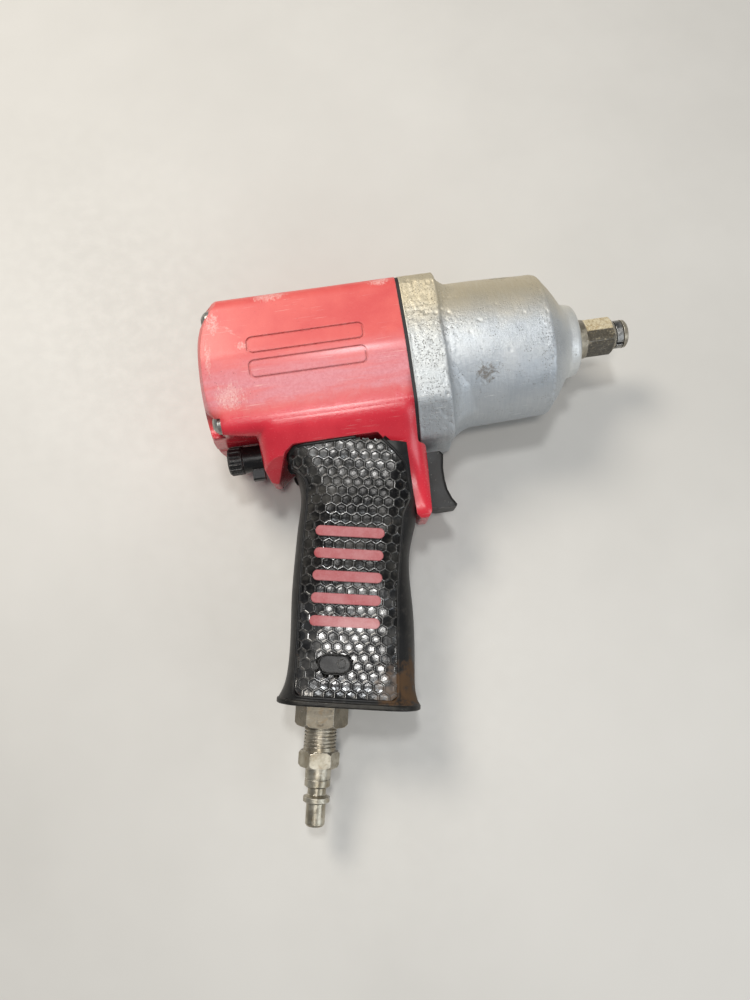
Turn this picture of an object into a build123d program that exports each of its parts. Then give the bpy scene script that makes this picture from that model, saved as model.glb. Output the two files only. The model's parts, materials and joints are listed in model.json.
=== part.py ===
from build123d import *
import math
import os

# Pistol-grip air impact wrench with a 1/2 inch square drive, lying on its left side.
# Tool frame while modelling: X forward along the output shaft, Y up away from the handle,
# Z out of the tool's right side, origin on the shaft axis. REST at the end turns, lifts and
# shifts every node, so the tool lies on its left side on a table at z = 0, touching it with
# the body and with the edge of the handle base, and centred on the origin. All in mm.

# ---- driving dimensions -------------------------------------------------
R_BODY = 33.0                      # half height and half width of the motor housing
LUG_AT = 22.8                      # screw lugs of the body skin, up and across
LUG_R = 7.3
SCREW_AT = 22.2                    # case screw axes, up and across
CHIN = (-32.4, 13.5, 7.0)          # lower front of the section: y, z, radius
X_REAR = -90.6                     # crown of the rear face
X_SPLIT = -4.2                     # front face of the motor housing
GASKET_T = 1.4
X_CASE = X_SPLIT + GASKET_T        # rear face of the hammer case flange
X_FLANGE = 12.0                    # where the case flange starts to sweep down
R_NECK_REAR = 32.5                 # hammer case barrel, rear end
R_NECK_FRONT = 31.2                # hammer case barrel, front end
X_BARREL_END = 55.8
X_COLLAR = 67.6
X_COLLAR_END = 73.2
R_COLLAR = 16.6
SQUARE_AF = 12.7                   # 1/2 inch square drive
X_SQUARE = (77.9, 90.6)
X_TIP = 97.1

R_BORE = 26.0                      # motor bore and hammer case bore
X_STACK = -84.0                    # rear of the motor stack
X_CYL = (-74.0, -30.0)             # cylinder between the end plates
X_FRONT_PLATE_END = -19.0
R_ROTOR = 19.0
R_LINER = 20.9
LINER_OFFSET = 1.75
N_VANES = 6

SCREW_SEAT = -82.4                 # shoulder under the case screw washers
SCREW_R = 2.5
HEAD_R = 4.5
HEAD_L = 3.4
WASHER_T = 0.8

RAKE = 11.5                        # handle rake in degrees
BASE = (-48.0, -142.0)             # middle of the handle base in X, Y
CAP_T = 2.2                        # thickness of the base cap
W_INLET = -11.1                    # air inlet axis, measured across the handle

Y_KNOB = -33.3                     # regulator axis below the shaft axis
KNOB_X = (-85.6, -70.2)
Y_TRIGGER = -56.0                  # trigger pin axis
TRIGGER_TRAVEL = 5.0

INLET_AF = 19.05                   # 3/4 inch hexagon of the inlet bushing
INLET_S = -9.65                    # lower end of the inlet bushing
PLUG_THREAD_R = 6.65               # 1/4 inch pipe thread
THREAD_PITCH = 1.41
PLUG_AF = 14.6                     # plug hexagon
PLUG_HEX_S = (-25.8, -19.4)
NOSE_R = 3.95
NOSE_S = -48.7

WALL_GAP = 0.1                     # gap between inlaid rubber panels and their pockets
REST_TILT = 4.23                   # turn about X that lays body and handle base on the table
ORIGIN = (3.25, -77.35)            # middle of the tool's outline on the table


# ---- helpers ------------------------------------------------------------
def x_cyl(r, x0, x1, y=0.0, z=0.0):
    """Cylinder along X."""
    return Pos((x0 + x1) / 2, y, z) * Rot(0, 90, 0) * Cylinder(r, x1 - x0)


def x_ring(r_out, r_in, x0, x1, y=0.0, z=0.0):
    """Tube along X."""
    return x_cyl(r_out, x0, x1, y, z) - x_cyl(r_in, x0 - 1, x1 + 1, y, z)


def block(x0, x1, y0, y1, z0, z1):
    """Box between two corners."""
    middle = Pos((x0 + x1) / 2, (y0 + y1) / 2, (z0 + z1) / 2)
    return middle * Box(x1 - x0, y1 - y0, z1 - z0)


def turned(points):
    """Solid of revolution about X from (x, radius) points; closes down to the axis."""
    outline = Polyline(*points, close=True)
    return revolve(make_face(outline), Axis.X)


def across_x(x):
    """Plane square to the shaft: local x is tool Y, local y is tool Z."""
    return Plane(origin=(x, 0, 0), x_dir=(0, 1, 0), z_dir=(1, 0, 0))


def side_prism(points, half, rounding=0.0):
    """Side outline in X, Y stretched to z = -half..half."""
    face = make_face(Polyline(*points, close=True))
    if rounding:
        face = fillet(face.vertices(), rounding)
    return Pos(0, 0, -half) * extrude(face, 2 * half)


SIN_R = math.sin(math.radians(RAKE))
COS_R = math.cos(math.radians(RAKE))


def grip_point(s, w, z=0.0):
    """Point s up the handle from its base and w forward across it."""
    x = BASE[0] + SIN_R * s + COS_R * w
    y = BASE[1] + COS_R * s - SIN_R * w
    return (x, y, z)


def grip_plane(s, w=0.0, z=0.0):
    """Plane across the handle, normal up the handle."""
    return Plane(origin=grip_point(s, w, z), x_dir=(COS_R, -SIN_R, 0), z_dir=(SIN_R, COS_R, 0))


def s_cyl(r, s0, s1, w=W_INLET, z=0.0):
    """Cylinder along the handle direction between s0 and s1."""
    return grip_plane((s0 + s1) / 2, w, z) * Cylinder(r, s1 - s0)


def grip_loft(sections, inset=0.0):
    """Loft of rounded rectangles (s, rear, front, half width, corner radius)."""
    faces = []
    for s, rear, front, half, corner in sections:
        length = front - rear - 2 * inset
        width = 2 * (half - inset)
        middle = (rear + front) / 2
        face = grip_plane(s, middle) * RectangleRounded(length, width, corner - inset * 0.7)
        faces.append(face)
    return loft(faces)


def level_loft(sections):
    """Loft of level rounded rectangles (y, rear x, front x, half width, corner radius)."""
    faces = []
    for y, rear, front, half, corner in sections:
        plane = Plane(origin=((rear + front) / 2, y, 0), x_dir=(1, 0, 0), z_dir=(0, -1, 0))
        faces.append(plane * RectangleRounded(front - rear, 2 * half, corner))
    return loft(faces)


# ---- body section -------------------------------------------------------
CORNERS = [(1, 1), (1, -1), (-1, -1), (-1, 1)]
SCREWS = [(SCREW_AT * up, SCREW_AT * side) for up, side in CORNERS]


def body_section(shrink=0.0, chin=False):
    """Tight skin round the motor and the four screw lugs, with or without the chin."""
    rings = list(Circle(R_BODY - shrink).edges())
    for up, side in CORNERS:
        rings += list((Pos(LUG_AT * up, LUG_AT * side) * Circle(LUG_R - shrink)).edges())
    if chin:
        for side in (1, -1):
            rings += list((Pos(CHIN[0], CHIN[1] * side) * Circle(CHIN[2] - shrink)).edges())
    return make_hull(rings)


def body_prism(x0, x1, shrink=0.0, chin=False):
    return extrude(across_x(x0) * body_section(shrink, chin), x1 - x0)


# rear end profile, turned about an axis a little below the shaft
DOME_DROP = 2.0
REAR_DOME = [
    (X_REAR, 0.0),
    (-90.5, 16.0),
    (-90.0, 23.0),
    (-88.9, 28.6),
    (-87.0, 33.0),
    (-84.4, 36.6),
    (-81.6, 39.2),
    (-78.0, 41.6),
    (-70.0, 45.0),
    (5.0, 48.0),
    (5.0, 0.0),
]

# side outline of the red skirt: rear tang, cheeks over the grip, front finger
SKIRT_OUTLINE = [
    (-69.6, -10.0),
    (-69.6, -37.0),
    (-69.2, -41.6),
    (-67.6, -46.6),
    (-64.6, -47.4),
    (-62.4, -43.2),
    (-59.0, -37.6),
    (-55.5, -35.2),
    (-20.5, -35.2),
    (-14.2, -42.6),
    (-10.0, -49.0),
    (-9.2, -57.0),
    (-8.8, -69.2),
    (-7.4, -71.2),
    (-4.0, -71.2),
    (-2.4, -69.2),
    (-1.0, -50.0),
    (-0.8, -41.0),
    (X_SPLIT, -40.4),
    (X_SPLIT, -10.0),
]
SKIRT_LEVELS = [
    (-8.0, -69.6, -0.6, 27.0, 8.0),
    (-22.0, -69.6, -0.6, 29.4, 8.0),
    (-29.0, -69.6, -0.6, 28.4, 8.0),
    (-36.0, -69.6, -0.6, 23.4, 9.0),
    (-44.0, -69.4, -0.6, 18.0, 8.0),
    (-50.0, -69.0, -0.6, 15.4, 7.0),
    (-60.0, -67.0, -0.6, 13.4, 6.0),
    (-72.0, -65.0, -0.6, 9.6, 5.0),
]
# the rear tang also narrows to a point across the tool: y, half width
TANG_TAPER = [(-8.0, 34.0), (-32.0, 28.5), (-38.0, 23.0), (-42.5, 14.0), (-48.0, 4.6)]

GRIP_SECTIONS = [
    (CAP_T, -28.4, 28.4, 22.2, 13.0),
    (6.0, -26.8, 27.0, 20.8, 13.0),
    (13.0, -25.7, 26.2, 20.0, 13.0),
    (41.0, -26.2, 24.0, 19.7, 13.0),
    (64.0, -25.9, 21.8, 19.6, 12.5),
    (73.0, -25.5, 23.2, 19.7, 12.5),
    (82.0, -25.0, 24.0, 20.2, 12.0),
    (90.0, -26.8, 24.0, 21.2, 12.0),
    (97.0, -30.8, 24.0, 22.2, 12.0),
    (107.0, -35.5, 24.0, 23.4, 12.0),
]
CORE_INSET = 3.4

# inlaid honeycomb panel, clockwise from its top rear corner
PANEL_OUTLINE = [
    (-56.0, -35.9),
    (-20.9, -35.9),
    (-14.9, -43.0),
    (-10.9, -49.4),
    (-10.3, -63.0),
    (-14.9, -69.6),
    (-16.6, -76.5),
    grip_point(45.0, 17.4)[:2],
    grip_point(3.4, 19.8)[:2],
    grip_point(3.4, -21.8)[:2],
    grip_point(60.0, -22.6)[:2],
    grip_point(80.0, -22.0)[:2],
    (-52.3, -50.6),
    (-54.3, -46.6),
    (-57.8, -43.8),
    (-58.2, -38.6),
]
PANEL_FLOOR = 14.0


def grip_outer():
    return grip_loft(GRIP_SECTIONS)


def grip_core():
    sections = [g for g in GRIP_SECTIONS]
    sections[0] = (CAP_T, -26.2, 26.2, 20.6, 13.0)
    return grip_loft(sections, CORE_INSET)


def skirt():
    whole = level_loft(SKIRT_LEVELS) & side_prism(SKIRT_OUTLINE, 40.0, 1.2)
    half = [(y, z) for y, z in TANG_TAPER]
    outline = half + [(y, -z) for y, z in reversed(half)]
    wedge = extrude(across_x(-75.0) * make_face(Polyline(*outline, close=True)), 18.0)
    front = block(-57.0, 5.0, -90.0, 0.0, -45.0, 45.0)
    return whole & (wedge + front)


# ---- motor housing ------------------------------------------------------
def rear_shape():
    return Pos(0, -DOME_DROP, 0) * turned(REAR_DOME)


def red_shell():
    body = body_prism(X_REAR - 2, X_SPLIT) & rear_shape()
    body += body_prism(X_SPLIT - 9.0, X_SPLIT, 0.0, True)
    return body + skirt()


def regulator_recess():
    """Belly cut away below the rear of the body, so the regulator can be reached."""
    front = [(-27.6, -14), (-27.6, 14), (-31.2, 30), (-60, 30), (-60, -30), (-31.2, -30)]
    rear = [(-27.2, -14), (-27.2, 14), (-25.6, 30), (-60, 30), (-60, -30), (-25.6, -30)]
    faces = []
    for x, outline in ((-69.6, front), (-96.0, rear)):
        faces.append(across_x(x) * make_face(Polyline(*outline, close=True)))
    return loft(faces, ruled=True)


def label_grooves(side):
    """Two blank engraved label frames, one over the other."""
    frames = []
    for y in (5.6, -4.6):
        outer = Pos(-44.2, y) * RectangleRounded(48.0, 7.6, 2.4)
        inner = Pos(-44.2, y) * RectangleRounded(46.6, 6.2, 1.8)
        ring = extrude(outer - inner, 12.0)
        ring = Pos(0, 0, 25.0) * ring
        if side < 0:
            ring = mirror(ring, about=Plane.XY)
        frames.append(ring)
    return frames


def motor_housing(core, red):
    part = red + core
    # motor bay and its rear bearing relief
    part -= x_cyl(R_BORE, X_STACK, X_SPLIT + 5)
    part -= x_cyl(9.0, X_STACK - 2.5, X_STACK + 1)
    # case screws: shank holes, and notches open at the rear corners
    for y, z in SCREWS:
        part -= x_cyl(SCREW_R + 0.2, X_REAR - 2, X_SPLIT + 2, y, z)
        part -= corner_notch(y, z)
    # regulator bushing bore, and the relief the knob turns in
    part -= x_cyl(5.4, KNOB_X[1] - 0.4, -27.0, Y_KNOB)
    part -= x_cyl(6.5, KNOB_X[0] - 8, -69.6, Y_KNOB)
    part -= regulator_recess()
    # air way from the throttle up to the regulator, and up to the motor
    part -= block(-32.4, -28.2, Y_TRIGGER, Y_KNOB, -2.4, 2.4)
    for x in (-60.0, -44.0):
        part -= block(x - 2.5, x + 2.5, Y_KNOB, -24.0, -3.0, 3.0)
    # throttle bore from the front, stepped
    part -= x_cyl(4.0, -21.0, 2.0, Y_TRIGGER)
    part -= x_cyl(6.5, -46.0, -21.0, Y_TRIGGER)
    # pocket the trigger runs into
    part -= block(-8.1, 2.0, -69.3, -41.6, -8.0, 8.0)
    # inlet way up the handle
    part -= s_cyl(8.6, 0.0, 16.5)
    part -= s_cyl(5.5, 16.0, 86.0)
    # exhaust: chamber in the front of the handle and two ways past the trigger pin
    part -= grip_plane(13.5, 12.0) * Box(13.0, 22.0, 25.0)
    for z in (-10.2, 10.2):
        part -= grip_plane(60.0, 10.6, z) * Box(7.0, 5.4, 82.0)
    part -= block(-24.0, -12.0, -42.0, -22.0, -12.8, 12.8)
    # engraved blank frames on the flat of each side, half a millimetre deep
    skin = body_prism(-80.0, -8.0) - body_prism(-82.0, -6.0, 0.55)
    for side in (1, -1):
        for ring in label_grooves(side):
            part -= ring & skin
    return part


def corner_notch(y, z):
    """Open recess for one screw head: seat towards the front, open outwards and behind."""
    out_y = math.copysign(1.0, y)
    out_z = math.copysign(1.0, z)
    hole = Pos(y, z) * Circle(5.6)
    away = Pos(y + out_y * 9.0, z + out_z * 9.0) * Circle(5.6)
    outline = make_hull(list(hole.edges()) + list(away.edges()))
    return extrude(across_x(X_REAR - 4) * outline, SCREW_SEAT - (X_REAR - 4))


# ---- grip ---------------------------------------------------------------
def panel_prism(offset, side):
    face = make_face(Polyline(*PANEL_OUTLINE, close=True))
    face = fillet(face.vertices(), 1.1)
    if offset:
        face = fillet(make_face(Polyline(*PANEL_OUTLINE, close=True)).vertices(), 1.1)
        face = offset_face(face, offset)
    tall = extrude(face, 30.0)
    tall = Pos(0, 0, PANEL_FLOOR) * tall
    if side < 0:
        tall = mirror(tall, about=Plane.XY)
    return tall


def offset_face(face, amount):
    return offset(face, amount)


def oval_prism(side, length, width, z0, height):
    slot = grip_plane(16.4, -6.1)
    angle = -RAKE
    face = Pos(slot.origin.X, slot.origin.Y) * Rot(0, 0, angle) * SlotOverall(length, width)
    tall = Pos(0, 0, z0) * extrude(face, height)
    if side < 0:
        tall = mirror(tall, about=Plane.XY)
    return tall


OVAL = (12.4, 7.0)
BAR_S = (33.0, 42.0, 51.0, 60.0, 69.0)


def accent_bars(side):
    """Plain raised bars across the panel."""
    bars = []
    for s in BAR_S:
        centre = grip_point(s, -3.2)
        face = Pos(centre[0], centre[1]) * Rot(0, 0, -RAKE) * SlotOverall(28.0, 4.2)
        tall = Pos(0, 0, PANEL_FLOOR + 2.0) * extrude(face, 9.0)
        if side < 0:
            tall = mirror(tall, about=Plane.XY)
        bars.append(tall)
    return bars


# ---- hammer case --------------------------------------------------------
def case_outline():
    """Outer profile of the hammer case, x and radius, swept smoothly off the flange."""
    sweep = Spline(
        (X_FLANGE - 1.6, 44.5),
        (X_FLANGE + 0.6, 39.0),
        (X_FLANGE + 4.6, 34.9),
        (X_FLANGE + 11.0, R_NECK_REAR),
        tangents=((0.16, -1.0), (1.0, -0.04)),
    )
    shoulder = Spline(
        (X_BARREL_END - 2.0, R_NECK_FRONT),
        (X_BARREL_END + 2.6, 29.6),
        (X_BARREL_END + 5.2, 26.6),
        tangents=((1.0, -0.05), (0.55, -0.83)),
    )
    lines = [
        Line((X_CASE, 0.0), (X_CASE, 46.0)),
        Line((X_CASE, 46.0), (X_FLANGE - 3.0, 46.0)),
        Line((X_FLANGE - 3.0, 46.0), (X_FLANGE - 1.6, 44.5)),
        sweep,
        Line((X_FLANGE + 11.0, R_NECK_REAR), (X_BARREL_END - 2.0, R_NECK_FRONT)),
        shoulder,
        Line((X_BARREL_END + 5.2, 26.6), (X_COLLAR - 1.2, 18.2)),
        Line((X_COLLAR - 1.2, 18.2), (X_COLLAR - 0.2, 17.2)),
        Line((X_COLLAR - 0.2, 17.2), (X_COLLAR + 0.8, R_COLLAR)),
        Line((X_COLLAR + 0.8, R_COLLAR), (X_COLLAR_END - 1.9, 16.0)),
        Line((X_COLLAR_END - 1.9, 16.0), (X_COLLAR_END - 0.6, 15.2)),
        Line((X_COLLAR_END - 0.6, 15.2), (X_COLLAR_END, 13.9)),
        Line((X_COLLAR_END, 13.9), (X_COLLAR_END, 0.0)),
        Line((X_COLLAR_END, 0.0), (X_CASE, 0.0)),
    ]
    return make_face(lines)


def hammer_case():
    barrel = revolve(case_outline(), Axis.X)
    sides = body_prism(X_CASE, X_FLANGE + 12.0, 0.0, True)
    sides += x_cyl(R_NECK_REAR + 0.1, X_CASE, 90.0)
    case = barrel & sides
    # pilot that enters the motor housing and clamps the motor stack
    case += x_ring(R_BORE - 0.05, 24.0, X_FRONT_PLATE_END, X_CASE + 1)
    # hammer room, stepped down to the nose
    case -= x_cyl(R_BORE, X_CASE + 2, 49.5)
    case -= x_cyl(24.0, X_CASE - 5, X_CASE + 3)
    case -= turned([(49.4, 0.0), (49.4, R_BORE), (51.5, 24.5), (56.0, 17.0), (56.0, 0.0)])
    case -= x_cyl(12.5, 55.0, X_COLLAR_END - 1.5)
    case -= x_cyl(10.2, X_COLLAR_END - 3, X_COLLAR_END + 2)
    for y, z in SCREWS:
        case -= x_cyl(SCREW_R, X_CASE - 1, X_CASE + 12.0, y, z)
    return case


def case_gasket():
    pad = body_prism(X_SPLIT, X_CASE, 0.35, True)
    pad -= x_cyl(R_BORE, X_SPLIT - 1, X_CASE + 1)
    for y, z in SCREWS:
        pad -= x_cyl(SCREW_R + 0.2, X_SPLIT - 1, X_CASE + 1, y, z)
    return pad


# ---- motor --------------------------------------------------------------
def rear_end_plate():
    plate = x_cyl(R_BORE - 0.1, X_STACK, X_CYL[0])
    plate -= x_cyl(13.0, X_STACK - 1, X_CYL[0] - 2.0)
    plate -= x_cyl(6.0, X_STACK - 1, X_CYL[0] + 1)
    return plate


def front_end_plate():
    plate = x_cyl(R_BORE - 0.1, X_CYL[1], X_FRONT_PLATE_END)
    plate -= x_cyl(16.0, X_CYL[1] + 2.0, X_FRONT_PLATE_END + 1)
    plate -= x_cyl(8.6, X_CYL[1] - 1, X_FRONT_PLATE_END + 1)
    return plate


def bearing(x0, x1, r_in, r_out):
    """Ball bearing drawn as one piece: two races, a row of balls, shields."""
    race = (r_out - r_in) * 0.28
    ring = x_ring(r_in + race, r_in, x0, x1) + x_ring(r_out, r_out - race, x0, x1)
    ring += x_ring(r_out - race + 0.05, r_in + race - 0.05, x0 + 0.5, x1 - 0.5)
    return ring


def cylinder():
    liner = x_cyl(R_BORE - 0.1, X_CYL[0], X_CYL[1])
    liner -= x_cyl(R_LINER, X_CYL[0] - 1, X_CYL[1] + 1, LINER_OFFSET)
    # inlet and exhaust ports through the lower wall
    for x in (-60.0, -44.0):
        liner -= block(x - 2.5, x + 2.5, -30.0, -10.0, -3.0, 3.0)
    liner -= block(-36.5, -32.5, -30.0, -10.0, -8.0, 8.0)
    return liner


def rotor():
    body = x_cyl(R_ROTOR, X_CYL[0] + 0.2, X_CYL[1] - 0.2)
    for k in range(N_VANES):
        slot = block(X_CYL[0] - 1, X_CYL[1] + 1, 10.5, 21.0, -1.15, 1.15)
        body -= Rot(k * 360.0 / N_VANES, 0, 0) * slot
    body += x_cyl(4.98, X_STACK + 0.8, X_CYL[0] + 1)
    body += x_cyl(7.48, X_CYL[1] - 1, X_FRONT_PLATE_END + 0.5)
    body += rotor_spline()
    return body


def rotor_spline():
    shaft = x_cyl(5.9, X_FRONT_PLATE_END, -5.0)
    for k in range(8):
        tooth = block(X_FRONT_PLATE_END, -5.0, 0.0, 7.0, -1.3, 1.3)
        shaft += Rot(k * 45.0, 0, 0) * tooth
    return shaft


def rotor_vanes():
    vanes = []
    for k in range(N_VANES):
        vane = block(X_CYL[0] + 0.3, X_CYL[1] - 0.3, 10.7, 18.8, -1.05, 1.05)
        vanes.append(Rot(k * 360.0 / N_VANES, 0, 0) * vane)
    return vanes


# ---- hammer mechanism ---------------------------------------------------
PIN_AT = 19.6
PIN_R = 3.8
CAGE_R = 25.4
CAGE_REAR_R = 23.9
CAGE_X = (-13.0, 44.5)
HAMMER_X = ((-2.6, 17.4), (18.2, 38.2))


def hammer_pin(up):
    return x_cyl(PIN_R, CAGE_X[0] + 2.0, CAGE_X[1] - 1.0, up * PIN_AT)


def hammer_cage():
    """Rear hub and front ring joined by two thin rails the hammers rock between."""
    start = HAMMER_X[0][0] - 0.5
    cage = x_cyl(CAGE_REAR_R, CAGE_X[0], start)
    cage += x_cyl(CAGE_R, HAMMER_X[1][1] + 0.6, CAGE_X[1])
    rails = block(start - 2.0, CAGE_X[1] - 1, -9.0, 9.0, -30.0, 30.0)
    side_ring = x_ring(CAGE_R, 23.35, 1.0, CAGE_X[1] - 1)
    side_ring += x_ring(CAGE_REAR_R, 23.35, start - 2.0, 1.5)
    cage += side_ring & rails
    cage -= rotor_spline()
    cage -= x_cyl(6.9, -5.1, 0.0)
    cage -= x_cyl(12.6, HAMMER_X[1][1], CAGE_X[1] + 1)
    for up in (1, -1):
        cage -= x_cyl(PIN_R, CAGE_X[0] + 2.0, CAGE_X[1] - 1.0, up * PIN_AT)
    return cage


def hammer(x0, x1, up):
    """Rocking ring hung on one pin; the notch opposite gives the other pin its play."""
    ring = x_ring(22.2, 12.9, x0, x1)
    ring -= x_cyl(PIN_R + 0.06, x0 - 1, x1 + 1, up * PIN_AT)
    ring -= x_cyl(PIN_R + 0.4, x0 - 1, x1 + 1, -up * PIN_AT)
    notch = block(x0 - 1, x1 + 1, 15.2, 30.0, -6.3, 6.3)
    ring -= Rot(180.0 if up > 0 else 0.0, 0, 0) * notch
    return ring


def anvil():
    shaft = turned([
        (-4.8, 0.0),
        (-4.8, 6.2),
        (-4.0, 6.8),
        (-2.6, 6.8),
        (-2.6, 9.0),
        (40.0, 9.0),
        (40.0, 12.4),
        (45.0, 12.4),
        (45.0, 15.2),
        (51.0, 15.2),
        (51.0, 9.5),
        (X_COLLAR_END + 0.4, 9.5),
        (X_COLLAR_END + 1.2, 8.8),
        (X_SQUARE[0] - 0.3, 8.6),
        (X_SQUARE[0] + 0.4, 7.4),
        (X_SQUARE[0] + 0.4, 0.0),
    ])
    # one striking jaw for each hammer, on opposite sides
    for (x0, x1), up in zip(HAMMER_X, (1, -1)):
        jaw = x_ring(11.6, 8.5, x0 + 3.0, x1 - 0.5) & block(x0, x1, 6.0, 14.0, -5.5, 5.5)
        shaft += Rot(0.0 if up > 0 else 180.0, 0, 0) * jaw
    # square drive, one corner turned to 119 degrees from tool-up
    square = Rot(0, 0, -16.0) * RectangleRounded(SQUARE_AF, SQUARE_AF, 1.4)
    drive = extrude(across_x(X_SQUARE[0] - 1.5) * square, X_SQUARE[1] - X_SQUARE[0] + 1.5)
    lead = turned([
        (X_SQUARE[0] - 2, 0.0),
        (X_SQUARE[0] - 2, 9.0),
        (X_SQUARE[1] - 1.4, 9.0),
        (X_SQUARE[1], 7.0),
        (X_SQUARE[1], 0.0),
    ])
    shaft += drive & lead
    # nose with the friction ring groove
    shaft += turned([
        (X_SQUARE[1] - 1, 0.0),
        (X_SQUARE[1] - 1, 6.3),
        (X_SQUARE[1] + 0.7, 6.3),
        (X_SQUARE[1] + 0.9, 4.6),
        (X_TIP - 2.2, 4.6),
        (X_TIP - 2.0, 6.3),
        (X_TIP - 0.7, 6.1),
        (X_TIP, 5.3),
        (X_TIP, 0.0),
    ])
    return shaft


def friction_ring():
    """Split steel ring that grips the socket."""
    x0 = X_SQUARE[1] + 1.3
    x1 = X_TIP - 2.5
    ring = x_ring(6.15, 5.35, x0, x1)
    return ring - Rot(150, 0, 0) * block(x0 - 1, x1 + 1, 0.0, 9.0, -0.6, 0.6)


def retainer_oring():
    """Rubber ring under the friction ring, flattened by it."""
    return x_ring(5.35, 4.6, X_SQUARE[1] + 1.4, X_TIP - 2.6)


def anvil_bushing():
    return x_ring(12.5, 9.54, 56.0, X_COLLAR_END - 1.5)


# ---- regulator ----------------------------------------------------------
def regulator_knob():
    x0, x1 = KNOB_X
    knob = turned([
        (x0, 0.0),
        (x0, 5.4),
        (x0 + 0.8, 6.2),
        (x0 + 6.0, 6.2),
        (x0 + 6.6, 5.7),
        (x1 - 0.6, 5.7),
        (x1, 5.2),
        (x1, 0.0),
    ])
    for k in range(16):
        groove = x_cyl(0.55, x0 - 1, x0 + 5.4, 6.3)
        knob -= Rot(k * 360.0 / 16, 0, 0) * groove
    knob = Pos(0, Y_KNOB, 0) * knob
    # pointer tab on the underside
    tab = block(x1 - 5.6, x1 - 0.4, Y_KNOB - 9.9, Y_KNOB - 4.6, -2.4, 2.4)
    tab = fillet(tab.edges().filter_by(Axis.X), 1.0)
    knob += tab
    # screw recess behind, shaft socket in front, detent hole beside it
    knob -= x_cyl(2.7, x0 - 1, x0 + 3.0, Y_KNOB)
    knob -= x_cyl(1.25, x0, x1 + 1, Y_KNOB)
    knob -= x_cyl(2.4, x1 - 4.0, x1 + 1, Y_KNOB)
    knob -= x_cyl(0.95, x1 - 5.0, x1 + 1, Y_KNOB + 3.9)
    return knob


def reverse_valve():
    x1 = KNOB_X[1]
    valve = x_cyl(2.38, x1 - 4.0, x1 + 1.2, Y_KNOB)
    valve += x_cyl(4.15, x1 + 1.2, -27.6, Y_KNOB)
    valve -= x_cyl(1.25, x1 - 5.0, x1 + 6.0, Y_KNOB)
    # air way along the valve with two cross ports
    valve -= x_cyl(2.4, -56.0, -27.0, Y_KNOB)
    valve -= block(-32.2, -28.4, Y_KNOB - 8, Y_KNOB, -2.2, 2.2)
    valve -= block(-46.0, -42.0, Y_KNOB, Y_KNOB + 8, -2.2, 2.2)
    return valve


def reverse_bushing():
    sleeve = x_ring(5.4, 4.2, KNOB_X[1] + 1.2, -27.0, Y_KNOB)
    sleeve -= block(-32.4, -28.2, Y_KNOB - 8, Y_KNOB, -2.4, 2.4)
    for x in (-60.0, -44.0):
        sleeve -= block(x - 2.5, x + 2.5, Y_KNOB, Y_KNOB + 8, -2.4, 2.4)
    return sleeve


def knob_screw():
    x0 = KNOB_X[0]
    screw = x_cyl(2.6, x0 + 1.0, x0 + 3.0, Y_KNOB) + x_cyl(1.25, x0 + 2.5, x0 + 15.0, Y_KNOB)
    hexagon = across_x(x0 + 0.5) * Pos(Y_KNOB, 0) * RegularPolygon(1.3, 6)
    screw -= extrude(hexagon, 1.6)
    return screw


def detent_ball():
    return Pos(KNOB_X[1] - 0.55, Y_KNOB + 3.9, 0) * Sphere(0.9)


def coil(r, wire, length, turns, place):
    path = Helix(length / turns, length, r)
    start = path @ 0
    profile = Plane(origin=start, z_dir=path % 0) * Circle(wire)
    return place * sweep(profile, path, is_frenet=True)


def detent_spring():
    place = Pos(KNOB_X[1] - 4.8, Y_KNOB + 3.9, 0) * Rot(0, 90, 0)
    return coil(0.7, 0.15, 3.0, 4, place)


# ---- trigger and throttle ------------------------------------------------
def trigger():
    outline = Polyline(
        (-2.6, -43.2),
        (5.6, -43.2),
        (6.7, -44.6),
        (5.7, -50.7),
        (5.6, -55.6),
        (6.1, -60.0),
        (7.4, -63.8),
        (9.2, -66.8),
        (8.8, -67.7),
        (1.0, -67.8),
        (-2.6, -66.8),
        close=True,
    )
    blank = Pos(0, 0, -7.6) * extrude(make_face(outline), 15.2)
    front = [e for e in blank.edges() if e.center().X > 5.5 and abs(abs(e.center().Z) - 7.6) < 0.01]
    blank = fillet(front, 1.2)
    blank -= x_cyl(2.5, -6.0, 2.0, Y_TRIGGER)
    return blank


def trigger_pin():
    return x_cyl(2.5, -27.4, 2.0, Y_TRIGGER)


def pin_bushing():
    return x_ring(4.0, 2.54, -21.0, -8.3, Y_TRIGGER)


def throttle_seat():
    seat = x_ring(6.5, 4.0, -33.0, -27.8, Y_TRIGGER)
    seat -= block(-32.4, -27.0, Y_TRIGGER, Y_TRIGGER + 9, -2.4, 2.4)
    return seat


def throttle_valve():
    valve = x_cyl(2.3, -34.0, -27.5, Y_TRIGGER)
    valve += x_cyl(5.2, -35.8, -33.05, Y_TRIGGER)
    valve += x_cyl(2.1, -38.4, -35.0, Y_TRIGGER)
    return valve


def throttle_spring():
    place = Pos(-45.5, Y_TRIGGER, 0) * Rot(0, 90, 0)
    return coil(3.9, 0.4, 4.0, 3, place)


# ---- handle base ---------------------------------------------------------
def base_cap():
    rear, front, half, corner = -29.0, 29.0, 22.4, 13.0
    face = grip_plane(0.0, (rear + front) / 2) * RectangleRounded(front - rear, 2 * half, corner)
    cap = extrude(face, CAP_T)
    cap = fillet(cap.edges().group_by(SortBy.LENGTH)[-1], 0.7)
    cap -= s_cyl(8.7, -1.0, CAP_T + 1.0)
    for row in range(3):
        for k in range(5):
            spot = grip_plane(1.0, 7.2 + row * 5.0, -9.2 + k * 4.6)
            cap -= spot * Cylinder(1.5, 6.0)
    return cap


def exhaust_muffler():
    return grip_plane(13.6, 12.0) * Box(12.8, 21.8, 22.0)


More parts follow.
